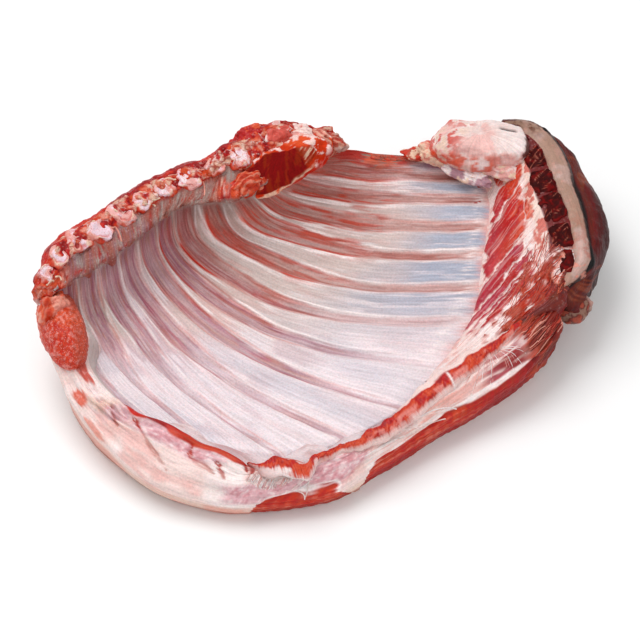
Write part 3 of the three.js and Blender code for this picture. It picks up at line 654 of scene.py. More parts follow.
def makeLining():
    size = liningSizes
    shares, places = np.linspace(0, 1, size["rows"]), np.linspace(firstPlace, lastPlace, size["columns"])
    top = lining(shares, places)
    s, p = np.meshgrid(shares, places, indexing="ij")
    inward = -normalsOf(top, closed=False)
    pitch = np.linalg.norm(np.gradient(top, places, axis=1), axis=2)
    side = (p - np.clip(np.floor(p), 0, ribCount) - 0.5) * pitch
    side = np.where(p < 1, np.abs(side), side)
    run = s * ribLength
    fibre = streak(run, p * ribPitch, 34, 2.2, 11)
    fine = streak(run, p * ribPitch, 16, 1.3, 13)
    ragged = streak(run, np.floor(p) * 9 + 3 * np.sign(side), 44, 1, 17)
    half = size["band"] * mix(1, 0.5, ease(4, 9, p) * ease(0.35, 0.85, s)) * mix(1.25, 1, ease(0.1, 0.5, s))
    narrow = ease(0.4, 0.72, s) * fade(5.5, 7.5, p)
    half = half * (1 + mix(0.22, 0.12, narrow) * ragged) * ease(-4, 22, pitch)
    half = half * mix(0.82, 1, ease(2, 4, p)) * mix(1, 0.6, narrow)
    ends = ease(0.0, 0.05, s) * fade(0.93, 0.995, s)
    ends = ends * np.where(np.round(p) >= ribCount, 1 - ease(0.44, 0.54, s), 1)
    rib = ease(half - 0.5, half + 3.0, np.abs(side))
    height = ends * (size["ribProud"] * rib - size["bandDepth"] * fade(0, half, np.abs(side)))
    height = height + 0.6 * clouds(top, 26, 5) + 0.2 * fibre + ends * 0.3 * fine * (1 - rib)
    height = height - size["rimSink"] * np.maximum(ease(0.98, 1, s) * ease(8.8, 10, p), ease(13.4, lastPlace, p))
    tint = liningTint(s, p, top, side, half, fibre, fine)
    flow = np.stack([run, p * ribPitch, 0 * s], -1)
    points = top + inward * height[..., None]

    rows, columns = size["underRows"], size["underColumns"]
    underShares, underPlaces = np.linspace(0, 1, rows), np.linspace(firstPlace, lastPlace, columns)
    base = lining(underShares, underPlaces)
    t, q = np.meshgrid(underShares, underPlaces, indexing="ij")
    thickness = mix(size["thickness"], size["archThickness"], ease(0.4, 1, t))
    thickness = thickness * mix(size["neckThin"], 1, ease(firstPlace, 2, q))
    under = base + normalsOf(base, closed=False) * thickness[..., None]
    under[..., 2] = np.maximum(under[..., 2] - size["sag"], 0)
    fatty = clouds(under * [1, 1, 0.5], 34, 41)
    lumpy = cloud(under, 14, 47)
    under[..., 2] = np.where(under[..., 2] > 1, under[..., 2] + np.minimum(under[..., 2], 1.2) * 0.6 * lumpy, 0)
    grainLine = streak(q * ribPitch + 20 * t, t * ribLength, 40, 3, 43)
    underTint = coats(
        plain("fat", under),
        ("rose", 0.6 * ease(-0.3, 0.5, -fatty + 0.5 * grainLine)),
        (tones["meat"] * 0.85, 0.85 * ease(0.15, 0.75, -fatty + 0.5 * grainLine)),
        (tones["blood"] * 0.8, 0.6 * ease(0.3, 0.8, grainLine) * ease(0.2, 0.6, -fatty)),
    )
    underFlow = np.stack([t * ribLength, q * ribPitch, 0 * t], -1)

    start = size["rows"] * size["columns"]
    faces = gridFaces(size["rows"], size["columns"]) + gridFaces(rows, columns, start)
    faces += zipLoops(*gridRim(size["rows"], size["columns"], 0), *gridRim(rows, columns, start))
    ribs = [f"rib_{number:02d}" for number in range(1, ribCount + 1)]
    spans = randomSpans(60, seed=45, rows=(44, 92), columns=(3, 10), reach=(9, 2), spread=0.12)
    shades = ["rust", "redLine", "orange", "brown"]
    addStrands("neckEdgeFibres", points, np.clip(spans, 2, 140), shades, "meat", 46, thickness=0.8, lift=0.1)
    addPiece(
        "lining", np.concatenate([points.reshape(-1, 3), under.reshape(-1, 3)]), faces,
        np.concatenate([tint.reshape(-1, 3), underTint.reshape(-1, 3)]),
        np.concatenate([flow.reshape(-1, 3), underFlow.reshape(-1, 3)]), membraneSkin, ("meat", *ribs),
    )


# The meat that carries the split backbone, with the torn lining hanging from its inner edge
chineSizes = {
    "from": 0.3, "to": 13.9, "steps": 420, "root": 1.2, "face": 18, "tilt": 6, "back": 8, "hump": 5,
    "humpFrom": 4.6, "humpTo": 6.2, "ends": 0.45, "scallop": 2.6, "apron": 0.006,
    "apronTip": 0.026, "pull": 10, "set": 3.5,
}
apronTips = [(4.9, 0.3), (7.2, 0.35), (8.9, 0.5), (10.35, 1.0), (11.5, 0.6), (12.5, 0.7)]  # place, length
vertebraNumbers = np.arange(4, 14)


def evenPlaces(first, last, count):  # places the same distance apart along the backbone
    places = np.linspace(first, last, 400)
    length = np.concatenate([[0], np.cumsum(np.linalg.norm(np.diff(chinePoints(places), axis=0), axis=1))])
    return np.interp(np.linspace(0, length[-1], count), length, places)


vertebraPlaces = evenPlaces(4.5, 13.3, len(vertebraNumbers))
seenPlaces = [4.45, 5.5, 6.55, 7.55, 8.5, 9.45, 10.5, 11.75, 12.65, 13.35]  # in the photo they sit less evenly


def chineRings():
    size = chineSizes
    place = np.linspace(size["from"], size["to"], size["steps"])
    path, out = chinePoints(place), rightOf(chinePoints, place)
    hump = size["hump"] * fade(size["humpFrom"], size["humpTo"], place)
    full = mix(size["ends"], 1, ease(size["from"], 2.4, place) * fade(12, size["to"], place))
    count = np.interp(place, vertebraPlaces, vertebraNumbers, left=3.5, right=13.4)
    scallop = size["scallop"] * np.abs(np.cos(math.pi * count)) * ease(3.8, 4.6, place)
    inside = np.maximum(place, size["root"])

    def under(share, depth):
        share = np.broadcast_to(share, place.shape)
        points = np.array([lining([a], [b])[0, 0] for a, b in zip(share, inside)])
        return points + np.array([outward(a, np.array([b]))[0] for a, b in zip(share, inside)]) * depth

    def step(width, rise):
        return path + out * (width * full)[:, None] + up * (rise * full)[:, None]

    low = under(0.25, 11.5)
    low[:, 2] = np.maximum(low[:, 2], 2)
    face, back, tilt = size["face"], size["back"], size["tilt"]
    tips = sum(tall * bump(place, at, 0.2) for at, tall in apronTips)
    edge = size["apron"] + size["apronTip"] * tips
    pull = size["pull"] * bump(place, 5.15, 0.55) + size["set"] * ease(5.6, 6.4, place) * fade(12.2, 13, place)
    upper = step(0.5 - scallop + pull, 0.4 * pull - 1.5)
    controls = [
        (-1, under(0.004, 11)), (-0.5, under(edge, 1.5)), (0, under(edge, -1.9)), (0.35, under(0.55 * edge, -2.6)),
        (0.65, under(0.001, -2.8)), (0.9, upper),
        (1.15, step(2.0 - scallop + pull, 0.4 * pull + 1.0)), (2, step(face + hump, tilt + hump)),
        (2.6, step(face + back + hump, tilt + hump - 7)), (3.4, step(face + back + 2 + 0 * place, -30)),
        (4.2, step(face - 2 + 0 * place, -56)), (5, low), (6, under(0.1, 12)),
    ]
    return tubeRings(controls, [3, 3, 6, 6, 6, 4, 30, 12, 18, 16, 8, 6, 3], 2, count, place)


def makeChine():
    rings = chineRings()
    points, zone, count, place = rings[..., :3], rings[..., 3], rings[..., 4], rings[..., 5]
    fine, coarse = clouds(points, 6, 51), clouds(points, 17, 57)
    curls = np.abs(cloud(points, 8, 59) + 0.35 * cloud(points, 3, 60))
    vein = np.exp(-(curls / 0.06) ** 2) * ease(-0.2, 0.3, cloud(points, 13, 62))
    shown = ease(0.75, 1.1, zone) * fade(4.2, 5, zone)
    between = np.exp(-((np.abs(count - np.round(count)) - 0.5) / 0.1) ** 2)
    onFace = ease(1.0, 1.12, zone) * fade(1.95, 2.1, zone)
    apron = ease(-0.1, 0.05, zone) * fade(0.95, 1.1, zone)
    drips = streak(count * 24 / 6 + coarse, zone * 2.0 + 0.5 * fine, 1, 1, 63, 3)
    knob = cloud(points, 6, 72) + 0.5 * cloud(points, 3, 73)
    height = shown * (0.8 * fine + mix(1.3, 0.6, onFace) * coarse) + 0.7 * vein * onFace - 1.6 * between * onFace
    height = height + 1.3 * knob * np.maximum(onFace, 0.6 * apron * ease(4.8, 6, count))
    rings = raised(rings, height + 0.5 * drips * apron)
    late = ease(8, 9.5, count)
    tint = coats(
        plain("meat", points),
        ("blood", 0.8 * ease(0, 0.5, coarse + 0.3 * fine)),
        ("orange", 0.7 * ease(0, 0.5, -coarse)),
        ("meatDark", 0.8 * ease(0.3, 0.6, fine) * onFace),
        ("redLine", 0.9 * ease(0.05, 0.4, -knob) * onFace),
        ("face", 0.8 * ease(0.35, 0.7, -knob) * onFace),
        ("peach", 0.9 * ease(0.0, 0.3, knob) * onFace),
        ("cream", 0.65 * ease(0.3, 0.65, knob + 0.3 * coarse) * onFace),
        ("orange", 0.7 * onFace * ease(0.0, 0.4, cloud(points, 7, 75))),
        ("fat", 0.9 * vein * onFace),
        ("peach", apron * mix(0.25, 0.7, late) * ease(-0.4, 0.5, 0.6 * drips + coarse)),
        ("fat", 0.6 * apron * late * ease(0.1, 0.6, coarse + 0.5 * fine)),
        ("blood", 0.75 * apron * (1 - late) * ease(-0.2, 0.4, coarse + drips)),
        ("face", 0.8 * apron * (1 - late) * ease(0.0, 0.5, -fine)),
        ("pale", 0.7 * apron * bump(zone, 0.05, 0.12) * ease(-0.2, 0.4, fine)),
        ("meatDark", 0.75 * bump(zone, 2.25, 0.22) * ease(-0.3, 0.3, coarse + 0.2)),
        ("redLine", 0.8 * bump(zone, 2.5, 0.15) * ease(-0.2, 0.3, fine)),
        ("fat", 0.75 * ease(2.9, 3.7, zone + 0.5 * coarse)),
        ("rose", 0.6 * ease(2.9, 3.5, zone) * ease(0, 0.5, fine + 0.5 * coarse)),
        ("blood", 0.7 * ease(0.1, 0.5, -knob) * apron),
    )
    meatFrom = mix(0.92, 0.84, ease(5.2, 6.4, count)) + 0.1 * drips + 0.06 * coarse
    early = fade(12, 12.8, count)
    likeLining = ease(-0.9, -0.6, zone) * fade(meatFrom - 0.06, meatFrom + 0.06, zone) * early
    path, out = chinePoints(place[:, 0]), rightOf(chinePoints, place[:, 0])
    width = ((points - path[:, None]) * out[:, None]).sum(-1)
    inner = fade(0.6, 2.2, width + 1.3 * drips + 0.8 * coarse) * ease(4.6, 5.2, count) * early
    likeLining = np.maximum(likeLining, inner)
    hair = streak(zone * 12, place * ribPitch, 16, 1.3, 74)
    wall = coats(
        plain("ash", points),
        ("brown", bump(place % 1, 0.5, 0.26)),
        ("beige", 0.6 * ease(-0.2, 0.4, hair)),
        ("mauve", 0.6 * ease(0.0, 0.5, -hair + 0.4 * fine)),
        ("violet", 0.55 * ease(6.5, 9, count) * ease(-0.3, 0.3, hair + 0.5 * coarse)),
        ("rust", 0.55 * ease(0.2, 0.5, drips + 0.4 * hair)),
    )
    cracks = np.exp(-(cloud(points, 8, 69) / 0.09) ** 2) + np.exp(-(cloud(points, 5, 70) / 0.07) ** 2)
    tint = coats(
        tint,
        # the wall below the vertebrae is painted like the lining and darkened to 0.78: painted shade, as on the
        # lining beside it
        (wall * 0.78, likeLining),
        # thin dark red cracks over the shown meat: partly the blood colour of crevices, partly painted shade in them
        (tones["blood"] * 0.8, 0.8 * np.minimum(cracks, 1) * shown * fade(2.4, 3, zone)),
        ("redLine", 0.8 * ease(1.95, 2.15, zone) * fade(2.5, 2.8, zone) * ease(-0.2, 0.3, -coarse)),
        ("rust", ease(13.32, 13.39, count) * ease(-0.6, 0.2, coarse)),
    )
    tint = tint * mix(0.9, 1, ease(2.9, 3.5, zone))[..., None]
    addTube("backboneMeat", rings, tint, lumpyMeat, ("meat",))
    row = np.argmin(np.abs(rings[:, 0, 4] - 5.2))
    spans = randomSpans(26, seed=65, rows=(row, lastRow(rings)), columns=(20, 50), reach=(7, 7), spread=0.4)
    addStrands("backboneSinews", rings[..., :3], spans, ["cream", "peach"], "meat", 66, thickness=0.8, lift=0.0)


def ballAngles(rows, columns, reach):  # from pole to pole, short of both, and all the way round
    lean, turn = np.linspace(-reach, reach, rows) * math.pi, np.linspace(0, 2 * math.pi, columns, endpoint=False)
    return np.meshgrid(lean, turn, indexing="ij")


# One sawn vertebra: a rounded block of bone with a pale rim and marrow or cartilage inside it
vertebraSizes = {
    "length": 19, "width": 16.5, "height": 15, "proud": 1.5, "inset": 8.8, "lift": 1.0, "rows": 44, "columns": 80,
    "round": 0.42, "oval": 0.8, "flat": 0.6, "wobble": 0.24,
}
neckPlaces = {4: (12, 4.5), 5: (11.5, 1.5)}  # inset and lift of the two beside the neck meat
# By number: the marrow hole's place along and across and its size, how much meat covers one side, and the scale
vertebraLook = {
    4: (0, 0, 0, 0, 0.95), 5: (0.4, -0.2, 0.16, 0.3, 0.9), 6: (-0.5, 0.4, 0.08, 0, 1.15),
    7: (0.5, -0.5, 0, 0, 1.05), 8: (-0.1, 0.1, 0.16, 0.1, 0.95), 9: (-0.2, 0.3, 0.3, 0, 1.15),
    10: (0.3, 0.5, 0, 0.1, 1.25), 11: (0.3, -0.4, 0.2, 0, 1.1), 12: (0.5, 0.2, 0, 0, 1.0),
    13: (-0.3, -0.4, 0.14, 0, 0.85),
}


def makeVertebra(number, place):
    size = vertebraSizes
    place = np.array([place])
    out = rightOf(chinePoints, place)[0]
    slope = unit(out * chineSizes["face"] + up * chineSizes["tilt"])
    along = np.array([-out[1], out[0], 0])
    normal = np.cross(slope, along)
    normal = normal * np.sign(normal[2])
    holeAlong, holeAcross, hole, cheek, big = vertebraLook[number]
    inset, lift = neckPlaces.get(number, (size["inset"], size["lift"]))
    centre = chinePoints(place)[0] + slope * inset + normal * lift
    lean, turn = ballAngles(size["rows"], size["columns"], reach=0.485)
    level, oval = power(np.cos(lean), size["round"]), size["oval"]
    a, b, c = level * power(np.cos(turn), oval), level * power(np.sin(turn), oval), power(np.sin(lean), size["flat"])
    wobble = 1 + size["wobble"] * clouds(np.stack([a, b, c], -1) * 10 + number * 31, 8, 71)
    points = (
        centre
        + along * (a * wobble * big * size["length"] / 2)[..., None]
        + slope * (b * wobble * big * size["width"] / 2)[..., None]
        + normal * (c * size["height"] / 2 + size["proud"] - size["height"] / 2)[..., None]
    )
    flat = np.stack([a * 10, b * 8, 0 * a + number * 7], -1)
    rough = cloud(flat, 3.2, 77) + 0.5 * cloud(flat, 1.4, 78)
    ragged = np.sqrt(a ** 2 + b ** 2) + 0.1 * rough
    topSide = ease(0.25, 0.7, c)
    ring = topSide * bump(ragged, 0.86, 0.09)
    groove = topSide * bump(ragged, 0.7, 0.06) * ease(-0.3, 0.3, cloud(flat, 6, 79))
    fromHole = np.sqrt((a - holeAlong) ** 2 + ((b - holeAcross) * 0.8) ** 2) + 0.06 * rough
    pit = topSide * fade(hole * 0.7, hole + 0.05, fromHole) if hole else 0 * a
    points += normal * (0.45 * ring - 0.5 * groove - 2.0 * pit + 0.55 * rough * topSide)[..., None]
    veins = np.exp(-(cloud(flat, 4.5, 84) / 0.09) ** 2) * ease(-0.2, 0.3, cloud(flat, 7, 85))
    meatSide = ease(0.2, 0.5, b * (-1 if number % 2 else 1) + 0.3 * rough) * ease(0.3, 0.8, ragged)
    tint = coats(
        plain("meat", points),
        ("meatDark", ease(0.1, 0.6, -c)),
        ("bone", topSide * fade(0.86, 0.97, ragged)),
        ("lilac", 0.55 * topSide * fade(0.35, 0.65, ragged) * ease(-0.3, 0.4, rough)),
        ("pale", 0.5 * topSide * fade(0.6, 0.8, ragged) * ease(0.1, 0.6, cloud(flat, 5, 83))),
        ("peach", 0.7 * topSide * ease(0.0, 0.45, cloud(flat, 4, 81))),
        ("redLine", 0.7 * groove),
        ("redLine", 0.85 * topSide * ease(0.92, 0.99, ragged)),
        ("cream", 0.9 * ring * ease(-0.3, 0.3, rough)),
        ("orange", 0.75 * topSide * veins),
        ("rose", 0.8 * topSide * ease(0.55, 0.9, ragged) * ease(-0.2, 0.4, cloud(flat, 6, 86))),
        ("meat", cheek * topSide * meatSide),
        ("blood", 0.7 * topSide * bump(fromHole, hole + 0.12, 0.05) * (hole > 0)),
        (tones["blood"] * 0.7, pit),
    )
    addTube(f"vertebra{number}", np.dstack([points, c]), tint, sawnBone, (f"vertebra_{number:02d}",))


# Lumps of muscle and fat: a stretched ball with a rough surface
def lumpRings(centre, radii, turn=0, rows=56, columns=84, rough=0.12, size=0.9, seed=0, square=1.0):
    lean, side = ballAngles(rows, columns, reach=0.488)
    level = power(np.cos(lean), square)
    ball = [level * power(np.cos(side), square), level * power(np.sin(side), square), power(np.sin(lean), square)]
    ball = np.stack(ball, -1)
    scale = 1 + rough * clouds(ball * 10, 10 * size, seed)
    local = ball * scale[..., None] * np.array(radii, float)
    turn = math.radians(turn)
    local = local @ np.array([[math.cos(turn), math.sin(turn), 0], [-math.sin(turn), math.cos(turn), 0], [0, 0, 1]])
    return np.concatenate([local + np.array(centre, float), ball], -1)


loinSizes = {
    "centre": (-202, -24, 58), "radii": (40, 18, 18), "turn": 110, "rows": 100, "columns": 150,
    "rough": 0.06, "seed": 81,
}


def makeLoinMuscle():
    rings = lumpRings(**loinSizes)
    points, ball = rings[..., :3], rings[..., 3:]
    grainy, wide = clouds(points, 2.2, 83, 2), cloud(points, 18, 87)
    rings = raised(rings, 0.4 * grainy + 0.8 * cloud(points, 14, 85))
    tint = coats(
        plain("orange", points),
        ("meat", ease(-0.1, 0.6, wide + 0.3 * cloud(points, 6, 88))),
        ("blood", 0.45 * ease(0.2, 0.7, -grainy)),
        ("pink", 0.4 * ease(0.25, 0.6, grainy)),
        ("rust", 0.6 * ease(0.2, 0.7, -ball[..., 1] + 0.3 * wide)),
        ("blood", 0.7 * ease(0.72, 0.95, ball[..., 0] - 0.1 * wide)),
    )
    addTube("loinMuscle", rings, tint, grainyMeat, ("loin_muscle",))


neckSizes = {
    "centre": (-30, 123, 91), "radii": (46, 17, 16), "turn": 38, "rows": 100, "columns": 170,
    "rough": 0.1, "seed": 91, "square": 0.8,
}
neckCut = {"away": (0.3, -0.78, 0.55), "depth": 9.5, "flat": 0.9}


def makeNeckMuscle():
    rings = lumpRings(**neckSizes)
    points, ball = rings[..., :3], rings[..., 3:]
    rough, fine = clouds(points, 16, 93), clouds(points, 4.5, 95)
    rings = raised(rings, 1.4 * rough + 0.6 * fine)
    cut = unit(np.array(neckCut["away"]))
    beyond = (rings[..., :3] - np.array(neckSizes["centre"])) @ cut - neckCut["depth"]
    rings[..., :3] -= cut * (np.maximum(beyond, 0) * neckCut["flat"])[..., None]
    points = rings[..., :3]
    face = ease(-1.2, 0.6, beyond)
    low = ease(-0.1, 0.35, -ball[..., 2] + 0.4 * ball[..., 0])
    grain = streak(points[..., 0], points[..., 2], 9, 34, 97)
    threads = streak(points[..., 0], points[..., 2], 2.2, 16, 98, 2)
    torn = face * ease(0.3, 0.45, ball[..., 0] + 0.15 * ball[..., 2] + 0.06 * rough)
    strands = streak(points[..., 0] + points[..., 2], points[..., 0] - points[..., 2], 14, 2.2, 99)
    lip = face * ease(0.42, 0.5, -ball[..., 2] - 0.15 * ball[..., 0] + 0.06 * rough)
    tint = coats(
        plain("meat", points),
        ("orange", ease(0, 0.5, rough)),
        ("fat", 0.85 * ease(0.15, 0.45, fine + 0.4 * rough) * (1 - face)),
        ("face", face),
        # broad lighter and darker streaks across the flat cut face: partly its own brownish colour, partly painted
        # light and shade of facets
        (tones["rust"] * 0.6, 0.35 * face * ease(-0.1, 0.5, grain)),
        ("marrow", 0.5 * face * ease(0.0, 0.6, -grain)),
        ("rust", 0.25 * face * ease(0.0, 0.5, threads + 0.4 * rough)),
        ("orange", lip),
        ("cream", 0.8 * lip * ease(0.0, 0.4, fine)),
        ("redLine", 0.8 * lip * ease(0.1, 0.5, -fine - 0.5 * rough)),
        ("rust", torn),
        ("cream", 0.8 * torn * ease(0.2, 0.6, strands)),
        ("meatDark", 0.7 * torn * ease(0.2, 0.6, -strands)),
        ("cream", 0.95 * bump(beyond, -1.0, 0.9) * ease(0.2, 0.6, low + 0.3 * fine)),
        ("redLine", 0.8 * ease(1.5, 4.5, -beyond) * low),
        ("orange", ease(0.7, 0.9, -ball[..., 0] + 0.15 * rough)),
    )
    addTube("neckMuscle", rings, tint, darkFace, ("neck_muscle",))


# The lumps of fat, membrane and meat over the neck end of the backbone
humpLumps = [
    {"centre": (-56, 141, 103), "radii": (17, 10, 10), "turn": 30, "base": "blood", "patch": "orange", "fan": 0},
    {"centre": (-37, 142, 106), "radii": (15, 10, 8), "turn": 18, "base": "fat", "patch": "redLine", "fan": 0},
    {"centre": (-18, 150, 101), "radii": (15, 10, 8), "turn": 10, "base": "rose", "patch": "fat", "fan": 0.35},
    {"centre": (-3, 147, 94), "radii": (13, 9, 10), "turn": -25, "base": "peach", "patch": "rust", "fan": 0.5},
    {"centre": (9, 152, 86), "radii": (13, 8, 8), "turn": -14, "base": "rust", "patch": "beige", "fan": 0.4},
    {"centre": (-68, 131, 100), "radii": (15, 9, 8), "turn": 40, "base": "blood", "patch": "peach", "fan": 0.6},
    {"centre": (-58, 101, 92), "radii": (16, 8, 10), "turn": 34, "base": "orange", "patch": "redLine", "fan": 0.3},
    {"centre": (-209, -14, 70), "radii": (13, 11, 13), "turn": 60, "base": "orange", "patch": "peach", "fan": 0.2},
]


def makeHump():
    for k, lump in enumerate(humpLumps):
        rings = lumpRings(
            lump["centre"], lump["radii"], lump["turn"], rows=64, columns=96, rough=0.22, size=0.7, seed=101 + k,
        )
        points, ball = rings[..., :3], rings[..., 3:]
        fine, coarse = clouds(points, 5, 111 + k), clouds(points, 11, 131 + k)
        lines = np.sin(ball[..., 1] * 13 + 2.5 * coarse + 1.5 * ball[..., 0])
        rings = raised(rings, 0.8 * fine + 0.6 * lump["fan"] * lines)
        tint = coats(
            plain(lump["base"], points),
            ("blood", 0.5 * ease(0.1, 0.6, -coarse)),
            (lump["patch"], 0.9 * ease(0.1, 0.35, coarse + 0.4 * fine)),
            ("cream", 0.9 * lump["fan"] * ease(0.35, 0.8, lines)),
            ("face", 0.9 * lump["fan"] * ease(0.6, 0.95, -lines)),
        )
        addTube(f"neckLump{k + 1}", rings, tint, smoothMeat)


# The belly flap, with its white layer, the red lip and the cut edge underneath
flankSizes = {
    "steps": 460, "puff": 5, "thickness": 16, "footLoin": 36, "footMiddle": 2, "footBreast": 14, "pillow": 3.6,
    "wave": 1.0,
}
redPatches = [  # share, across, how far they reach, and the tone
    (0.175, 0.3, 0.04, 0.24, "meat"), (0.232, 0.78, 0.022, 0.22, "orange"), (0.293, 0.98, 0.03, 0.1, "peach"),
]
pinkPatches = [
    (0.335, 0.22, 0.045, 0.26), (0.41, 0.16, 0.035, 0.22), (0.6, 0.6, 0.035, 0.4), (0.28, 0.5, 0.02, 0.2),
    (0.5, 0.75, 0.05, 0.2), (0.575, 0.62, 0.03, 0.3), (0.645, 0.5, 0.028, 0.35),
]
slits = [  # from share and across, to share and across
    (0.312, 0.2, 0.345, 0.46), (0.345, 0.46, 0.392, 0.72), (0.392, 0.06, 0.402, 0.34), (0.402, 0.34, 0.437, 0.5),
    (0.275, 0.35, 0.31, 0.6), (0.43, 0.25, 0.452, 0.5), (0.455, 0.0, 0.468, 0.2),
]
sinews = [  # white cords over the flap
    (0.553, 0.3, 0.585, 0.95), (0.556, 0.5, 0.584, 0.62), (0.58, 0.35, 0.565, 0.75), (0.585, 0.95, 0.57, 0.8),
    (0.57, 0.8, 0.582, 0.66), (0.74, 0.5, 0.8, 0.85), (0.72, 0.55, 0.78, 0.9), (0.7, 0.5, 0.76, 0.8),
    (0.66, 0.6, 0.72, 0.7),
]


def strokes(share, across, lines, width, waver):  # how near each point of the flap is to any line
    near = np.zeros_like(share)
    for fromShare, fromAcross, toShare, toAcross in lines:
        start = np.array([fromShare * flapLength, fromAcross * flapBreadth])
        along = np.array([toShare * flapLength, toAcross * flapBreadth]) - start
        dx, dy = share * flapLength - start[0], across * flapBreadth - start[1]
        t = np.clip((dx * along[0] + dy * along[1]) / (along @ along), 0, 1)
        gap = np.sqrt((dx - t * along[0]) ** 2 + (dy - t * along[1]) ** 2) + waver
        near = np.maximum(near, np.exp(-(gap / (width * (0.4 + 0.6 * np.sin(math.pi * (0.1 + 0.8 * t))))) ** 2))
    return near


def ripple(share, size, seed, layers=1):  # noise along the flap
    return streak(share * flapLength, 0 * share, size, 1, seed, layers)


def wavyLip(share):  # the lip of the flap, wavy at the loin end
    size = flankSizes
    pillows = bump(share, 0.345, 0.03) + 0.9 * bump(share, 0.427, 0.024) + 0.4 * bump(share, 0.285, 0.02)
    wave = ripple(share, 12, 139) * ease(0.25, 0.3, share) * fade(0.44, 0.47, share)
    arch = 1.15 * bump(share, 0.502, 0.02) - 1.1 * bump(share, 0.545, 0.014)
    inward = size["pillow"] * (pillows + arch) + size["wave"] * wave
    right = rightOf(lambda x: linePoints(lipLine, x), share)
    return linePoints(lipLine, share) - right * inward[:, None] + up * (0.5 * inward)[:, None]


def flankTop(share, across):
    lip, hem = wavyLip(share), linePoints(hemLine, share)
    across = np.broadcast_to(across, share.shape)
    puff = flankSizes["puff"] * np.sin(math.pi * np.clip(across, 0, 1))
    return lip + (hem - lip) * across[:, None] + up * puff[:, None]


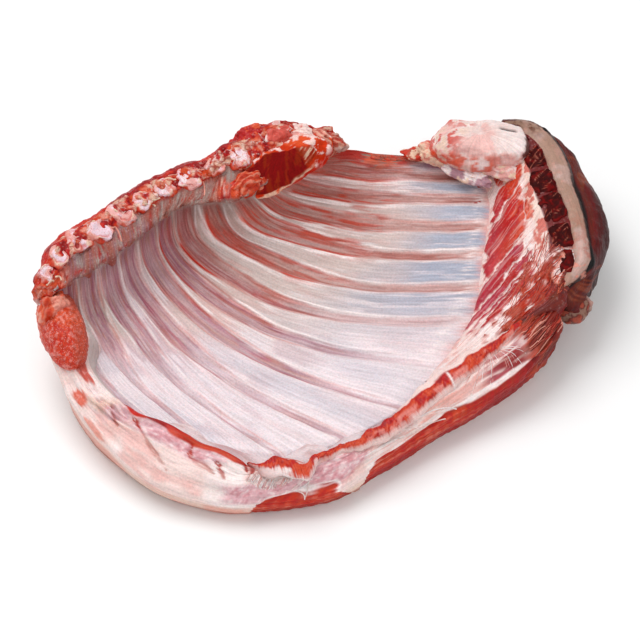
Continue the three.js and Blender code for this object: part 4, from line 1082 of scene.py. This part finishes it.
def makeFlank():
    size = flankSizes
    share = np.linspace(0, 1, size["steps"])
    lip, hem = wavyLip(share), linePoints(hemLine, share)
    foot = size["footMiddle"] + size["footLoin"] * fade(0, 0.3, share)
    foot = foot + size["footBreast"] * ease(0.8, 1, share)
    inside = -mix(0.3, 1, ease(0.3, 0.42, share) * fade(0.7, 0.85, share))

    def at(across, height=None):
        points = flankTop(share, across)
        if height is not None:
            points[:, 2] = height
        return points

    controls = [
        (-1, at(inside, lip[:, 2] - size["thickness"])), (-0.25, at(-0.16, lip[:, 2] - 5)), (0, lip),
        *((across, at(across)) for across in (0.12, 0.34, 0.56, 0.8)), (1, hem),
        (1.35, at(0.98, mix(foot, hem[:, 2], 0.55))), (1.8, at(0.82, foot)), (2.6, at(inside, foot + 3)),
    ]
    rings = tubeRings(controls, [6, 7, 9, 14, 14, 14, 14, 14, 12, 8, 6], 5, share)
    points, across, share = rings[..., :3], rings[..., 3], rings[..., 4]
    run, over = share * flapLength, across * flapBreadth
    folds = streak(run, over, 34, 7.5, 141, 3)
    strands = streak(run, over, 16, 2.0, 151)
    lumps = streak(run, over, 13, 8, 155, 1)
    wide = clouds(points, 30, 157)
    fatZone = ease(0.0, 0.08, across) * fade(0.86, 0.98, across)
    cutFrom = 0.87 + 0.06 * folds + 0.04 * strands + 1.4 * fade(0.495, 0.54, share)
    cutFrom = cutFrom + 0.9 * bump(share, 0.65, 0.015) - 0.05 * fade(0.6, 0.62, share)
    cutFrom = cutFrom - 0.03 * ease(0.66, 0.7, share)
    cut = ease(cutFrom - 0.02, cutFrom + 0.03, across) * fade(1.8, 2.1, across)
    combs = np.sin(run / 1.25 + 2.5 * folds)
    fibres = ease(0.925, 0.955, share + 0.015 * folds) * ease(0.02, 0.2, across + 0.1 * folds)
    slab = ease(0.835, 0.87, share) * fade(0.91, 0.94, share) * ease(0.15, 0.4, across + 0.1 * folds)
    slab = slab * fade(cutFrom - 0.1, cutFrom, across)
    groove = strokes(share, across, slits, 1.5, 1.1 * strands)
    cord = strokes(share, across, sinews, 0.6, 0.6 * folds)
    lipWide = 0.055 + 0.04 * ease(0, 0.6, lumps) + 0.05 * bump(share, 0.372, 0.02) + 0.03 * bump(share, 0.305, 0.02)
    lipRidge = bump(across, 0.02, lipWide) * fade(0.45, 0.475, share) * ease(0.25, 0.29, share)
    notch = bump(share, 0.466 + 0.05 * across, np.maximum(0.012 - 0.026 * across, 0.003))
    notch = notch * fade(0.3, 0.42, across)
    lilacZone = sum(bump(share, at, long) * bump(across, side, broad) for at, side, long, broad in pinkPatches)
    curly = bump(share, 0.262, 0.045) * ease(0.02, 0.1, across) * fade(0.6, 0.8, across)
    height = fatZone * (1.4 * folds + (1.3 + curly) * lumps * fade(0.5, 0.56, share))
    height = height + 0.3 * strands - 1.4 * cut
    height += (
        1.6 * lipRidge * (1 + 0.5 * folds) + 1.2 * fibres * strands + 0.5 * cord
        + 0.2 * cut * (combs + 2 * strands)
    )
    rings = raised(rings, height - 1.6 * groove - 2.6 * notch + 2.2 * curly * (strands + folds))
    speckle = streak(run, over, 3.2, 2.2, 159)
    tint = coats(
        plain("fat", points),
        ("pale", 0.8 * ease(-0.1, 0.6, wide + 0.4 * lumps)),
        ("rose", 0.5 * ease(0.1, 0.6, -folds) * ease(-0.3, 0.5, -wide)),
        ("veil", 0.85 * ease(0.3, 0.75, lilacZone + 0.2 * folds)),
        ("magenta", 0.35 * ease(0.35, 0.7, lilacZone) * ease(0.25, 0.7, speckle)),
        ("pale", 0.5 * ease(0.25, 0.6, lilacZone) * ease(0.3, 0.7, -speckle)),
        ("lilac", 0.7 * curly * ease(0.0, 0.5, -strands - 0.5 * folds)),
        ("cream", 0.5 * curly * ease(0.1, 0.5, lumps)),
    )
    for middle, side, long, broad, shade in redPatches:
        amount = bump(share, middle, long) * bump(across, side, broad) + 0.2 * strands + 0.12 * lumps
        tint = coats(
            tint,
            (shade, 0.9 * ease(0.35, 0.7, amount)),
            ("pink", 0.5 * ease(0.5, 0.7, amount) * ease(0.1, 0.5, speckle)),
        )
    outer = ease(1.02, 1.25, across) * (1 - cut)
    inner = fade(-0.14, -0.07, across)
    hollows = ripple(share, 16, 163)
    tint = coats(
        tint,
        ("rose", 0.55 * ease(0.0, 0.6, strands) * ease(0.6, 0.72, share) * fatZone),
        ("peach", 0.45 * ease(0.1, 0.6, folds + 0.5 * strands) * ease(0.66, 0.76, share) * fatZone),
        (tones["magenta"] * 0.8, 0.9 * slab * ease(-0.7, 0.0, strands)),
        ("meatDark", 0.6 * slab * ease(0.0, 0.5, folds)),
        ("rust", 0.75 * ease(0.3, 1.0, groove) * ease(-0.9, 0.1, lumps)),
        ("blood", 0.7 * ease(0.6, 1.0, groove) * fade(0.3, 0.5, across)),
        ("blood", 0.85 * ease(0.5, 1.0, notch)),
        ("blood", 0.95 * ease(0.3, 0.7, lipRidge) * ease(-0.6, 0.0, folds + 0.3)),
        ("meatDark", 0.6 * ease(0.3, 0.7, lipRidge) * ease(-0.2, 0.4, strands - lumps)),
        ("orange", 0.5 * ease(0.3, 0.7, lipRidge) * ease(0.1, 0.6, lumps)),
        ("redLine", ease(0.3, 0.6, bump(share, 0.302, 0.02) * bump(across, 0.02, 0.16))),
        ("meat", cut),
        ("orange", 0.6 * cut * ease(-0.1, 0.5, lumps + 0.5 * strands) * fade(0.75, 0.9, share)),
        ("peach", 0.5 * cut * ease(0.3, 0.7, strands + 0.4 * speckle) * fade(0.8, 0.9, share)),
        ("meatDark", 0.75 * cut * ease(0.7, 0.95, share + 0.05 * wide)),
        ("redLine", 0.5 * cut * ease(-0.4, 0.3, folds - lumps) * fade(0.8, 0.9, share)),
        ("blood", 0.45 * cut * ease(0.1, 0.7, combs + folds)),
        ("meatDark", 0.6 * cut * ease(1.2, 1.5, across)),
        ("pale", 0.9 * bump(across, cutFrom - 0.03, 0.03) * ease(0.5, 0.54, share) * (1 - fibres)),
        ("meatDark", fibres),
        ("meat", 0.7 * fibres * ease(-0.2, 0.5, strands)),
        ("rust", 0.5 * fibres * ease(0.3, 0.7, folds)),
        ("driedDark", 0.5 * fibres * ease(0.1, 0.7, -strands)),
        ("umber", 0.7 * fibres * ease(0.96, 0.99, share + 0.02 * folds)),
        ("pale", 0.6 * ease(0.3, 0.8, cord) * (1 - 0.6 * fibres) * (1 - cut)),
        ("cream", 0.5 * outer),
        ("peach", 0.7 * outer * ease(-0.2, 0.4, wide)),
        ("brown", 0.9 * bump(across, 1.62, 0.1) * outer * ease(0.12, 0.2, share)),
        (tones["meat"] * 0.85, 0.85 * ease(1.95, 2.3, across) * ease(-0.4, 0.2, wide)),
        # a thin dark red band just inside the lip: partly a dark red edge, partly painted shadow under the lip
        ("blood", 0.8 * bump(across, -0.05, 0.05) * ease(0.25, 0.3, share)),
        (mix(tones["white"], tones["membrane"], 0.3), inner),
        ("violet", 0.35 * inner * ease(0.1, 0.6, hollows)),
        ("mauve", 0.4 * inner * ease(0.1, 0.6, streak(run, over, 40, 2, 164))),
        ("ash", 0.6 * inner * fade(0.22, 0.3, share)),
    )
    flow = np.stack([run, over, 0 * share], -1)
    addTube("bellyFlap", rings, tint, softFat, ("flank_fat",), flow)
    grid = rings[..., :3]

    onTop, topColumns, farOff = 20, 96, 9  # a column on the upper side, and how many there are

    def spot(at, side):  # the row and the column of a place on the flap
        row = np.argmin(np.abs(rings[:, onTop, 4] - at) + np.where(np.arange(len(rings)) < 3, farOff, 0))
        return row, np.argmin(np.abs(rings[row, :topColumns, 3] - side))

    fringe = []
    for at in np.linspace(0.478, 0.566, 80) + np.random.default_rng(165).normal(0, 0.0015, 80):
        reach = 0.26 + 0.24 * bump(at, 0.522, 0.03)
        fringe.append(spot(at, reach) + spot(at + 0.004, reach + 0.2))
    addStrands("midriffFringe", grid, fringe, ["pale", "fat", "pink"], "fat", 167, thickness=0.3, lift=0.6)
    cords = [spot(*line[:2]) + spot(*line[2:]) for line in sinews]
    addStrands("flapSinews", grid, cords, ["pale", "fat"], "fat", 169, thickness=0.5, steps=16, lift=0.2)
    dice = np.random.default_rng(168)
    fan = [spot(0.855 + 0.03 * t, 0.12) + spot(0.815 + 0.11 * t, 0.45 + 0.4 * dice.random())
           for t in np.linspace(0, 1, 26)]
    addStrands(
        "flapFan", grid, fan, ["pale", "pink", "rose"], "fat", 166, thickness=0.24, steps=16, lift=0.15, waver=0.06,
    )
    last = spot(0.93, 0.1)[0]
    loose = randomSpans(70, seed=170, rows=(last, lastRow(rings)), columns=(18, 80), reach=(14, 2))
    addStrands("flapFibres", grid, loose, ["meat", "rust", "blood", "face", "peach"], "muscle", 171, thickness=0.45)


# The strip of midriff left along the lip of the flap
midriffSizes = {"from": 0.462, "to": 0.945, "steps": 520, "width": 12.5, "proud": 4.0, "low": -6}


def makeMidriff():
    size = midriffSizes
    share = np.linspace(size["from"], size["to"], size["steps"])
    lip = wavyLip(share)
    out = rightOf(lambda x: linePoints(lipLine, x), share)
    ragged = ripple(share, 11, 161, 2)
    fan = bump(share, 0.515, 0.04)
    wide = mix(0.36, 0.86, ease(0.6, 0.68, share)) + 0.9 * fan + 0.12 * ragged * ease(0.62, 0.66, share)
    wide = wide * (1 - 0.6 * ease(0.84, 0.93, share)) * ease(0.462, 0.49, share) + 0.05
    inner = -1.8 * ragged - 1.2 + 2.5 * bump(share, 0.585, 0.02)
    tuck = 0.6 * ease(0.7, 0.78, share) * fade(0.9, 0.94, share)

    def step(over, rise):
        return lip + out * (over * size["width"] * wide + inner)[:, None] + up * rise

    top = size["proud"] * mix(0.6, 1, ease(0.6, 0.7, share))[:, None]
    controls = [
        (-0.2, step(-0.05 - tuck, -2)), (0.1, step(0.05, 0.72 * top)), (0.5, step(0.45, top)),
        (0.9, step(0.85, 0.75 * top)), (1.1, step(1.1, -0.5)), (1.6, step(0.9, size["low"])),
        (2, step(0.1 - tuck, size["low"])),
    ]
    rings = tubeRings(controls, [8, 12, 14, 12, 8, 4, 4], 3, share)
    points, across, share = rings[..., :3], rings[..., 3], rings[..., 4]
    run = share * flapLength
    comb = streak(run, across * 0.9, 0.7, 1, 171)
    weave = streak(run + 9 * across, across * 3.0, 2.2, 1, 173)
    coarse, patches = clouds(points, 9, 175), clouds(points, 14, 177)
    rings = raised(rings, 0.25 * comb + 0.3 * weave + 0.5 * coarse)
    strip = ease(0.62, 0.68, share)
    fringe = ease(0.72, 1.15, across + 0.13 * comb + 0.2 * coarse) * bump(share, 0.52, 0.055)
    crossing = bump(share + 0.006 * across, 0.8, 0.0016)
    tint = coats(
        plain("meat", points),
        ("blood", 0.7 * ease(-0.1, 0.5, coarse)),
        ("orange", 0.6 * ease(0.2, 0.7, weave)),
        ("redLine", 0.7 * bump(across, 0.08, 0.14) * ease(-0.4, 0.3, patches)),
        ("pink", 0.45 * strip * ease(0.2, 0.6, patches + 0.3 * weave) * ease(0.3, 0.6, across)),
        ("meatDark", 0.5 * ease(0.35, 0.8, -weave)),
        ("pale", fringe),
        ("fat", 0.85 * ease(0.85, 1.1, across + 0.04 * comb + 0.06 * patches) * ease(0.56, 0.6, share)),
        ("pale", crossing * ease(0, 0.2, across)),
        ("meatDark", 0.6 * fade(-0.12, 0.08, across)),
        ("fat", fade(-0.06, 0.08, across + 0.04 * coarse) * ease(0.68, 0.74, share)),
        ("driedDark", 0.4 * ease(1.2, 1.5, across)),
    )
    addTube("midriffStrip", rings, tint, smoothMeat, ("midriff",), flowAlong(rings, 4))


# The breast: the slope of chest muscle, the sawn breastbone, the fat outside it and the outer muscle
breastSizes = {
    "steps": 230, "slopeSteps": 420, "boneShift": 12, "boneWiden": 5, "fatWiden": 4, "rootFrom": 7.9,
    "corner": 0.8, "bone": 15, "boneTilt": 4, "fat": 13, "fatCrown": 1.5, "muscle": [5, 11, 24, 29, 18, 8, 4],
    "under": 16, "tail": 44,
}


def breastWidths(share):  # across the breastbone: where its bone begins and ends, and where the fat ends
    size = breastSizes
    low = fade(0.1, 0.34, share)
    boneFrom = size["boneShift"] * low
    boneTo = size["bone"] + size["boneWiden"] * bump(share, 0.42, 0.2) + 7 * low - 9 * fade(0.1, 0.18, share)
    fat = size["fat"] * ease(0.03, 0.12, share) + size["fatWiden"] * ease(0.45, 0.65, share) * fade(0.8, 0.9, share)
    return boneFrom, boneTo, boneTo + fat


def breastRoot(share):
    points = []
    for t in share:
        place = np.array([mix(breastSizes["rootFrom"], firstPlace, min(t / breastSizes["corner"], 1))])
        across = mix(0.985, 0.85, max(t - breastSizes["corner"], 0) / (1 - breastSizes["corner"]))
        points.append(lining([across], place)[0, 0] - outward(across, place)[0] * 0.9)
    return np.array(points)


def breastLift(share):
    return mix(breastSizes["tail"], breastSizes["under"], ease(0, 0.35, share))


def sternumSteps(share):  # points beside the breastbone: mm to its right and mm up
    path, out = sternumPoints(share), rightOf(sternumPoints, share)

    def step(width, rise):
        width, rise = (np.broadcast_to(value, share.shape)[:, None] for value in (width, rise))
        return path + out * width + up * rise

    return step


def withHeight(points, height):
    points = points.copy()
    points[:, 2] = height
    return points


# Lobes of the chest muscle: from and to along the breastbone, left and right across the slope, and the tone
lobes = [
    (0.54, 0.64, 0.2, 0.84, "meat"), (0.445, 0.535, 0.08, 0.88, "meat"), (0.25, 0.44, 0.03, 0.76, "meat"),
    (0.27, 0.35, 0.74, 0.9, "orange"), (0.17, 0.247, -0.02, 0.66, "magenta"),
    (0.105, 0.165, -0.02, 0.76, "magenta"), (0.0, 0.07, 0.3, 0.8, "magenta"), (0.07, 0.1, 0.1, 0.74, "magenta"),
]


def makeBreast():
    size = breastSizes
    share = np.linspace(0, 0.9, size["slopeSteps"])
    root, step = breastRoot(share), sternumSteps(share)
    boneTo = breastWidths(share)[1]
    bone, side = step(0, 0), step(boneTo, size["boneTilt"])
    out = rightOf(sternumPoints, share)
    inWall = root - out * 10
    slope = [(a, root + (bone - root) * a) for a in (0.2, 0.4, 0.6, 0.8)]
    controls = [(-0.5, withHeight(inWall, root[:, 2] - 16)), (0, root), *slope, (1, bone), (2, side),
                (2.8, withHeight(side, breastLift(share) - 6)), (3.5, withHeight(inWall, root[:, 2] - 28))]
    rings = tubeRings(controls, [4, 20, 20, 20, 20, 20, 20, 10, 10, 4], 3, share)
    points, across, share = rings[..., :3], rings[..., 3], rings[..., 4]
    wide, mid = clouds(points, 18, 185), clouds(points, 7, 187)
    slant = share - 0.16 * across
    fibres = streak(across * slopeWidth, slant * slopeLength, 15, 2.2, 181, 2)
    u, v = slant + 0.012 * mid, across + 0.05 * mid
    muscle, bulge = np.zeros_like(share), np.zeros_like(share)
    tint = coats(
        plain("fat", points),
        ("pale", 0.6 * ease(0, 0.6, wide)),
        ("rose", 0.5 * ease(0.1, 0.5, mid)),
    )
    for low, high, left, right, shade in lobes:
        along = np.clip(np.minimum(u - low, high - u) / 0.028, 0, 1)
        over = np.clip(np.minimum(v - left, right - v) / 0.14, 0, 1)
        inside = ease(0.0, 0.3, along * over)
        tint = paint(tint, shade, inside)
        muscle = np.maximum(muscle, inside)
        bulge = np.maximum(bulge, np.sqrt(along * over))
    lines = ease(0.5, 0.8, streak(across * slopeWidth, slant * slopeLength, 18, 1.8, 183, 1))
    lines = lines * ease(-0.05, 0.1, across)
    column = ease(0.8, 0.88, v) * fade(1.0, 1.04, across) * ease(0.2, 0.3, share)
    ragged = ease(0.12, 0.24, 0.34 - share + 0.06 * mid) * ease(0.56, 0.7, across + 0.1 * fibres + 0.1 * mid)
    gristle = bump(share, 0.12, 0.07) * bump(across, 1.6, 0.35)
    boneZone = ease(0.99, 1.05, across) * fade(2.0, 2.15, across)
    boneZone = boneZone * ease(0.2, 0.24, share) * fade(0.82, 0.86, share)
    tint = coats(
        tint,
        ("orange", 0.7 * muscle * ease(0.4, 0.9, v + 0.2 * fibres) * ease(0.2, 0.35, slant)),
        ("blood", 0.85 * muscle * ease(-0.3, 0.3, wide + 0.5 * fibres)),
        ("redLine", 0.5 * muscle * ease(0.4, 0.6, share)),
        ("magenta", 0.7 * muscle * fade(0.1, 0.6, v) * fade(0.5, 0.68, share)),
        ("rust", 0.6 * muscle * ease(0.5, 0.68, share) * ease(-0.2, 0.5, -fibres)),
        ("pink", 0.4 * muscle * ease(0.4, 0.85, -fibres)),
        ("pale", mix(0.6, 0.2, muscle) * lines),
        ("cream", 0.35 * column),
        ("redLine", 0.7 * column * ease(0.25, 0.6, mid)),
        (tones["meat"] * 0.85, ragged),
        ("face", ragged * ease(-0.1, 0.4, fibres)),
        ("rust", 0.7 * ragged * ease(0.2, 0.6, mid)),
        ("umber", 0.8 * ragged * ease(1.0, 1.6, across + 0.2 * mid)),
        ("peach", ease(0.35, 0.6, gristle + 0.1 * mid)),
        ("pale", 0.7 * ease(0.55, 0.9, gristle + 0.15 * fibres)),
        (mix(tones["marrow"], tones["meatDark"], 0.5), boneZone),
        ("meatDark", 0.9 * ease(2.2, 2.6, across)),
    )
    height = 2.6 * bulge + 0.35 * fibres * (0.4 + muscle) + 0.5 * wide - 0.6 * boneZone
    rings = raised(rings, height + 1.4 * ragged * (0.6 * fibres + mid))
    flow = np.stack([across * slopeWidth, slant * slopeLength, 0 * share], -1)
    addTube("chestWall", rings, tint, cutMeat, ("chest_muscle",), flow)
    loose = randomSpans(110, seed=187, rows=(4, 130), columns=(60, 124), reach=(30, 10))
    addStrands(
        "breastFibres", rings[..., :3], loose, ["meat", "rust", "blood", "face", "orange"], "muscle", 188,
        thickness=0.35, waver=0.08, lift=0.1,
    )
    seams = randomSpans(24, seed=189, rows=(20, 320), columns=(8, 62), reach=(27, 40), spread=0.04)
    addStrands(
        "chestSinews", rings[..., :3], seams, ["fat", "pink", "rose"], "fat", 190, thickness=0.28, waver=0.04,
        steps=16, lift=0.1,
    )


sternebraSizes = {"count": 6, "from": 0.1, "to": 0.84, "fill": 0.97, "height": 9, "sink": 3.2}


def makeSternebra(index):
    size = sternebraSizes
    count, first, last = size["count"], size["from"], size["to"]
    middle = np.array([mix(first, last, (index + 0.5) / count)])
    at = np.array([mix(first, last, index / count), mix(first, last, (index + 1) / count)])
    ends = sternumSteps(at)(sum(breastWidths(at)[:2]) / 2, 0)
    along = unit(ends[1] - ends[0])
    out = rightOf(sternumPoints, middle)[0]
    slope = unit(out * breastSizes["bone"] + up * breastSizes["boneTilt"])
    normal = np.cross(along, slope)
    normal = normal * np.sign(normal[2])
    boneFrom, boneTo, _ = (width[0] for width in breastWidths(middle))
    centre = sternumPoints(middle)[0] + slope * (boneFrom + boneTo) / 2
    length = np.linalg.norm(ends[1] - ends[0])
    rings = lumpRings((0, 0, 0), (0.5, 0.5, 0.5), rows=40, columns=64, rough=0.1, seed=191 + index, square=0.45)
    local = rings[..., :3]
    points = (
        centre + along * (local[..., :1] * length * size["fill"]) + slope * (local[..., 1:2] * (boneTo - boneFrom))
        + normal * (local[..., 2:3] * size["height"] - size["sink"])
    )
    fine = clouds(points, 3.4, 201, 2)
    points = points + normal * (0.6 * fine)[..., None] + slope * (1.1 * cloud(points, 4, 205))[..., None]
    slant = (points - centre) @ along - 0.7 * ((points - centre) @ slope)
    lines = sum(bump(slant + 0.4 * fine, at, 0.35) for at in (-9, -3.5, 1, 6.5))
    tint = coats(
        plain("marrow", points),
        ("meatDark", 0.5 * ease(0.2, 0.7, fine)),
        ("driedDark", 0.35 * ease(0.0, 0.6, -fine)),
        ("peach", 0.45 * lines * ease(-0.4, 0.2, cloud(points, 7, 207))),
    )
    rings = np.dstack([points, local[..., 2]])
    addTube(f"sternebra{index + 1}", rings, tint, marrowMeat, (f"sternebra_{index + 1:02d}",))


def makeBreastFat():
    size = breastSizes
    share = np.linspace(0.05, 0.88, size["steps"])
    step = sternumSteps(share)
    _, boneTo, fatTo = breastWidths(share)
    inner, fat, tilt, crown = boneTo + 0.3, fatTo - boneTo, size["boneTilt"], size["fatCrown"]
    lift = breastLift(share)
    controls = [
        (0, step(inner, tilt)), (0.5, step(inner + fat / 2, tilt + crown)), (1, step(inner + fat, tilt / 2)),
        (1.5, withHeight(step(inner + fat, 0), mix(lift, sternumPoints(share)[:, 2], 0.5))),
        (2, withHeight(step(inner + fat, 0), lift - 3)), (3, withHeight(step(inner, 0), lift - 6)),
        (3.5, withHeight(step(inner, 0), mix(lift, sternumPoints(share)[:, 2], 0.5))),
    ]
    rings = tubeRings(controls, [12, 12, 8, 8, 8, 8, 8], 2, share)
    points, across = rings[..., :3], rings[..., 3]
    wide, fine = clouds(points, 22, 211), clouds(points, 5, 213)
    rings = raised(rings, 0.7 * wide + 0.2 * fine)
    low = fade(0.2, 0.7, rings[..., 1] / 150)
    top = ease(0.74, 0.84, rings[..., 4] + 0.03 * fine)
    tint = coats(
        plain("buff", points),
        ("beige", 0.8 * ease(-0.2, 0.5, wide)),
        ("rust", 0.5 * ease(0.1, 0.6, fine) * low),
        ("rose", 0.2 * ease(0.2, 0.7, -fine)),
        ("fat", 0.2 * bump(across, 0.35, 0.3) * ease(0, 0.6, wide)),
        ("driedDark", 0.95 * ease(0.86, 1.0, across + 0.05 * fine) * fade(1.9, 2.2, across)),
        ("olive", 0.8 * top),
        ("marrow", 0.85 * top * ease(-0.1, 0.4, fine + 0.3 * wide)),
        ("peach", 0.7 * ease(0.15, 0.6, fine) * fade(0.14, 0.2, rings[..., 4])),
    )
    addTube("breastFat", rings, tint, softFat, ("breast_fat",))


def makeOuterMuscle():
    size = breastSizes
    share = np.linspace(0.03, 0.86, size["steps"])
    step = sternumSteps(share)
    widths = smooth(np.linspace(0, 1, len(size["muscle"])), np.array(size["muscle"], float)[:, None], share)[:, 0]
    fatTo = breastWidths(share)[2]
    inner = fatTo + 0.6
    outer = size["bone"] + size["fat"] + widths - 6 * fade(0.03, 0.2, share)
    widths = np.maximum(outer - inner, 1)
    lift, high = breastLift(share), sternumPoints(share)[:, 2] - mix(24, 10, share)
    controls = [
        (0, step(inner, 1)), (0.6, step(inner + 0.6 * widths, -5)), (1, withHeight(step(inner + widths, 0), high)),
        (1.5, withHeight(step(inner + widths - 2, 0), mix(lift, high, 0.5))),
        (2, withHeight(step(inner + 0.6 * widths, 0), lift)), (3, withHeight(step(inner, 0), lift - 3)),
        (3.5, withHeight(step(inner, 0), mix(lift, high, 0.5))),
    ]
    rings = tubeRings(controls, [18, 14, 12, 12, 12, 8, 8], 4, share)
    points, across = rings[..., :3], rings[..., 3]
    wide, fine = clouds(points, 24, 221), clouds(points * [1, 0.5, 1], 6, 223)
    rings = raised(rings, 1.6 * wide + 0.5 * fine)
    grooves = streak(points[..., 1], points[..., 0] + points[..., 2], 26, 3, 227)
    tint = coats(
        plain("umber", points),
        ("driedDark", 0.7 * ease(0.4, 1.0, across + 0.6 * wide)),
        ("meatDark", 0.25 * ease(-0.1, 0.5, wide) * bump(across, 0.5, 0.3)),
        (tones["brown"] * 0.8, 0.6 * ease(0.2, 0.6, grooves) * bump(across, 0.6, 0.4)),
        ("buff", 0.45 * ease(0.3, 0.7, fine + 0.3 * grooves) * ease(0.8, 1.2, across)),
        ("driedDark", 0.9 * fade(0.02, 0.14, across)),
    )
    addTube("outerMuscle", rings, tint, driedMeat, ("breast_muscle",))


# The fat cap at the neck end of the breast, with the lumps below it
capLumps = [
    {"centre": (152, 140, 67), "radii": (20, 8, 7), "turn": -24, "base": "fat", "patch": "rose"},
    {"centre": (121, 145, 60), "radii": (24, 8, 6), "turn": -30, "base": "pale", "patch": "violet"},
    {"centre": (99, 161, 65), "radii": (18, 11, 9), "turn": -12, "base": "peach", "patch": "redLine"},
    {"centre": (82, 168, 58), "radii": (13, 7, 6), "turn": -6, "base": "rust", "patch": "redLine"},
]
capSizes = {
    "centre": (133, 161, 74), "radii": (41, 22, 19), "turn": -8, "rows": 90, "columns": 140,
    "rough": 0.08, "seed": 231, "square": 0.85,
}


def makeBreastCap():
    rings = lumpRings(**capSizes)
    points, ball = rings[..., :3], rings[..., 3:]
    wide, fine = clouds(points, 20, 233), clouds(points, 5, 237)
    slit = bump(points[..., 1] - 164 + 0.12 * (points[..., 0] - 150), 0, 1.3) * ease(148, 152, points[..., 0])
    slit = slit * fade(162, 166, points[..., 0]) * ease(0, 0.3, ball[..., 2])
    rings = raised(rings, 1.2 * wide + 0.4 * fine - 2.5 * slit)
    leftEnd = ease(0.0, 0.6, -ball[..., 0] + 0.4 * wide)
    front = ease(0.3, 0.8, -ball[..., 1] - 0.5 * ball[..., 2] + 0.3 * wide)
    backEdge = ease(0.55, 0.8, ball[..., 1] - 0.4 * ball[..., 2] + 0.1 * fine)
    tint = coats(
        plain("fat", points) * 0.94,
        ("pale", 0.6 * ease(0, 0.6, wide)),
        ("rose", 0.5 * ease(0, 0.6, -wide + 0.3 * fine)),
        ("redLine", 0.85 * leftEnd * ease(0.05, 0.35, fine + 0.3 * wide)),
        ("orange", 0.8 * front * ease(-0.1, 0.3, fine + 0.4 * leftEnd)),
        ("redLine", 0.7 * front * leftEnd * ease(-0.1, 0.3, wide - fine)),
        ("cream", 0.7 * leftEnd * ease(0.3, 0.6, -fine)),
        ("driedDark", 0.95 * slit),
        ("marrow", 0.9 * ease(0.8, 0.9, ball[..., 0] + 0.08 * fine) * ease(-0.4, 0.1, ball[..., 2])),
        ("olive", 0.8 * backEdge),
    )
    addTube("breastCap", rings, tint, softFat, ("breast_cap",))
    for k, lump in enumerate(capLumps):
        rings = lumpRings(lump["centre"], lump["radii"], lump["turn"], rough=0.2, size=0.8, seed=251 + k)
        points = rings[..., :3]
        fine, coarse = clouds(points, 4, 253 + k), clouds(points, 9, 257 + k)
        rings = raised(rings, 0.7 * fine)
        tint = coats(
            plain(lump["base"], points),
            (lump["patch"], 0.8 * ease(0.1, 0.4, coarse)),
            ("cream", 0.9 * ease(0.1, 0.4, fine - 0.3 * coarse)),
        )
        addTube(f"capLump{k + 1}", rings, tint, softFat)


tipSizes = {"centre": (203, 9, 41), "radii": (17, 11, 9), "turn": 32, "rough": 0.12, "seed": 241}


def makeTip():
    rings = lumpRings(**tipSizes)
    points, ball = rings[..., :3], rings[..., 3:]
    fine = clouds(points, 5, 243)
    rings = raised(rings, 0.5 * fine)
    tint = coats(
        plain("dried", points),
        ("rust", 0.7 * ease(-0.1, 0.5, fine)),
        ("buff", 0.6 * ease(0.0, 0.5, -fine)),
        ("beige", 0.9 * ease(0.6, 0.85, ball[..., 0] + 0.06 * fine)),
    )
    addTube("cartilageTip", rings, tint, softFat, ("cartilage_tip",))


makeLining()
makeChine()
for number, place in zip(vertebraNumbers.tolist(), seenPlaces):
    makeVertebra(number, place)
makeNeckMuscle()
makeHump()
makeLoinMuscle()
makeFlank()
makeMidriff()
makeBreast()
for index in range(sternebraSizes["count"]):
    makeSternebra(index)
makeBreastFat()
makeOuterMuscle()
makeBreastCap()
makeTip()


# Floor, soft studio light and camera
studio = {"floor": 6.0, "floorHeight": -0.0005, "paper": 0.95, "paperRoughness": 0.9, "world": 0.62}
studioLights = [  # name, place, size, watts
    ("keyLight", (-0.5, 0.35, 1.5), 1.1, 15), ("fillLight", (0.9, -1.1, 1.2), 1.4, 5),
]


def makeStudio():
    bpy.ops.mesh.primitive_plane_add(size=studio["floor"], location=(0, 0, studio["floorHeight"]))
    floor = bpy.context.object
    floor.name = "floor"
    paper = bpy.data.materials.new("palePaper")
    paper.use_nodes = True
    shader = paper.node_tree.nodes["Principled BSDF"]
    shader.inputs["Base Color"].default_value = (*[studio["paper"]] * 3, 1)
    shader.inputs["Roughness"].default_value = studio["paperRoughness"]
    floor.data.materials.append(paper)
    for name, place, size, energy in studioLights:
        lamp = bpy.data.lights.new(name, "AREA")
        lamp.energy, lamp.size = energy, size
        light = bpy.data.objects.new(name, lamp)
        light.location = place
        light.rotation_euler = (Vector((0, 0, 0.03)) - Vector(place)).to_track_quat("-Z", "Y").to_euler()
        bpy.context.collection.objects.link(light)
    world = bpy.data.worlds.new("studioWorld")
    world.use_nodes = True
    world.node_tree.nodes["Background"].inputs["Color"].default_value = (1, 1, 1, 1)
    world.node_tree.nodes["Background"].inputs["Strength"].default_value = studio["world"]
    bpy.context.scene.world = world
    bpy.context.scene.view_settings.view_transform = "Standard"


cameraSizes = {
    "elevation": 50, "distance": 1.6, "target": (-0.0048, -0.0134, 0.04), "pixels": 2000, "photoWidth": 640,
    "sensor": 36,
}


def makeCamera():
    lens = bpy.data.cameras.new("camera")
    lens.sensor_width = cameraSizes["sensor"]
    lens.lens = cameraSizes["pixels"] / cameraSizes["photoWidth"] * cameraSizes["sensor"]
    camera = bpy.data.objects.new("camera", lens)
    lean = math.radians(cameraSizes["elevation"])
    x, y, z = cameraSizes["target"]
    away = cameraSizes["distance"]
    camera.location = (x, y - away * math.cos(lean), z + away * math.sin(lean))
    camera.rotation_euler = (math.pi / 2 - lean, 0, 0)
    bpy.context.collection.objects.link(camera)
    bpy.context.scene.camera = camera


makeStudio()
makeCamera()
bpy.context.view_layer.update()
print("studio and camera made")
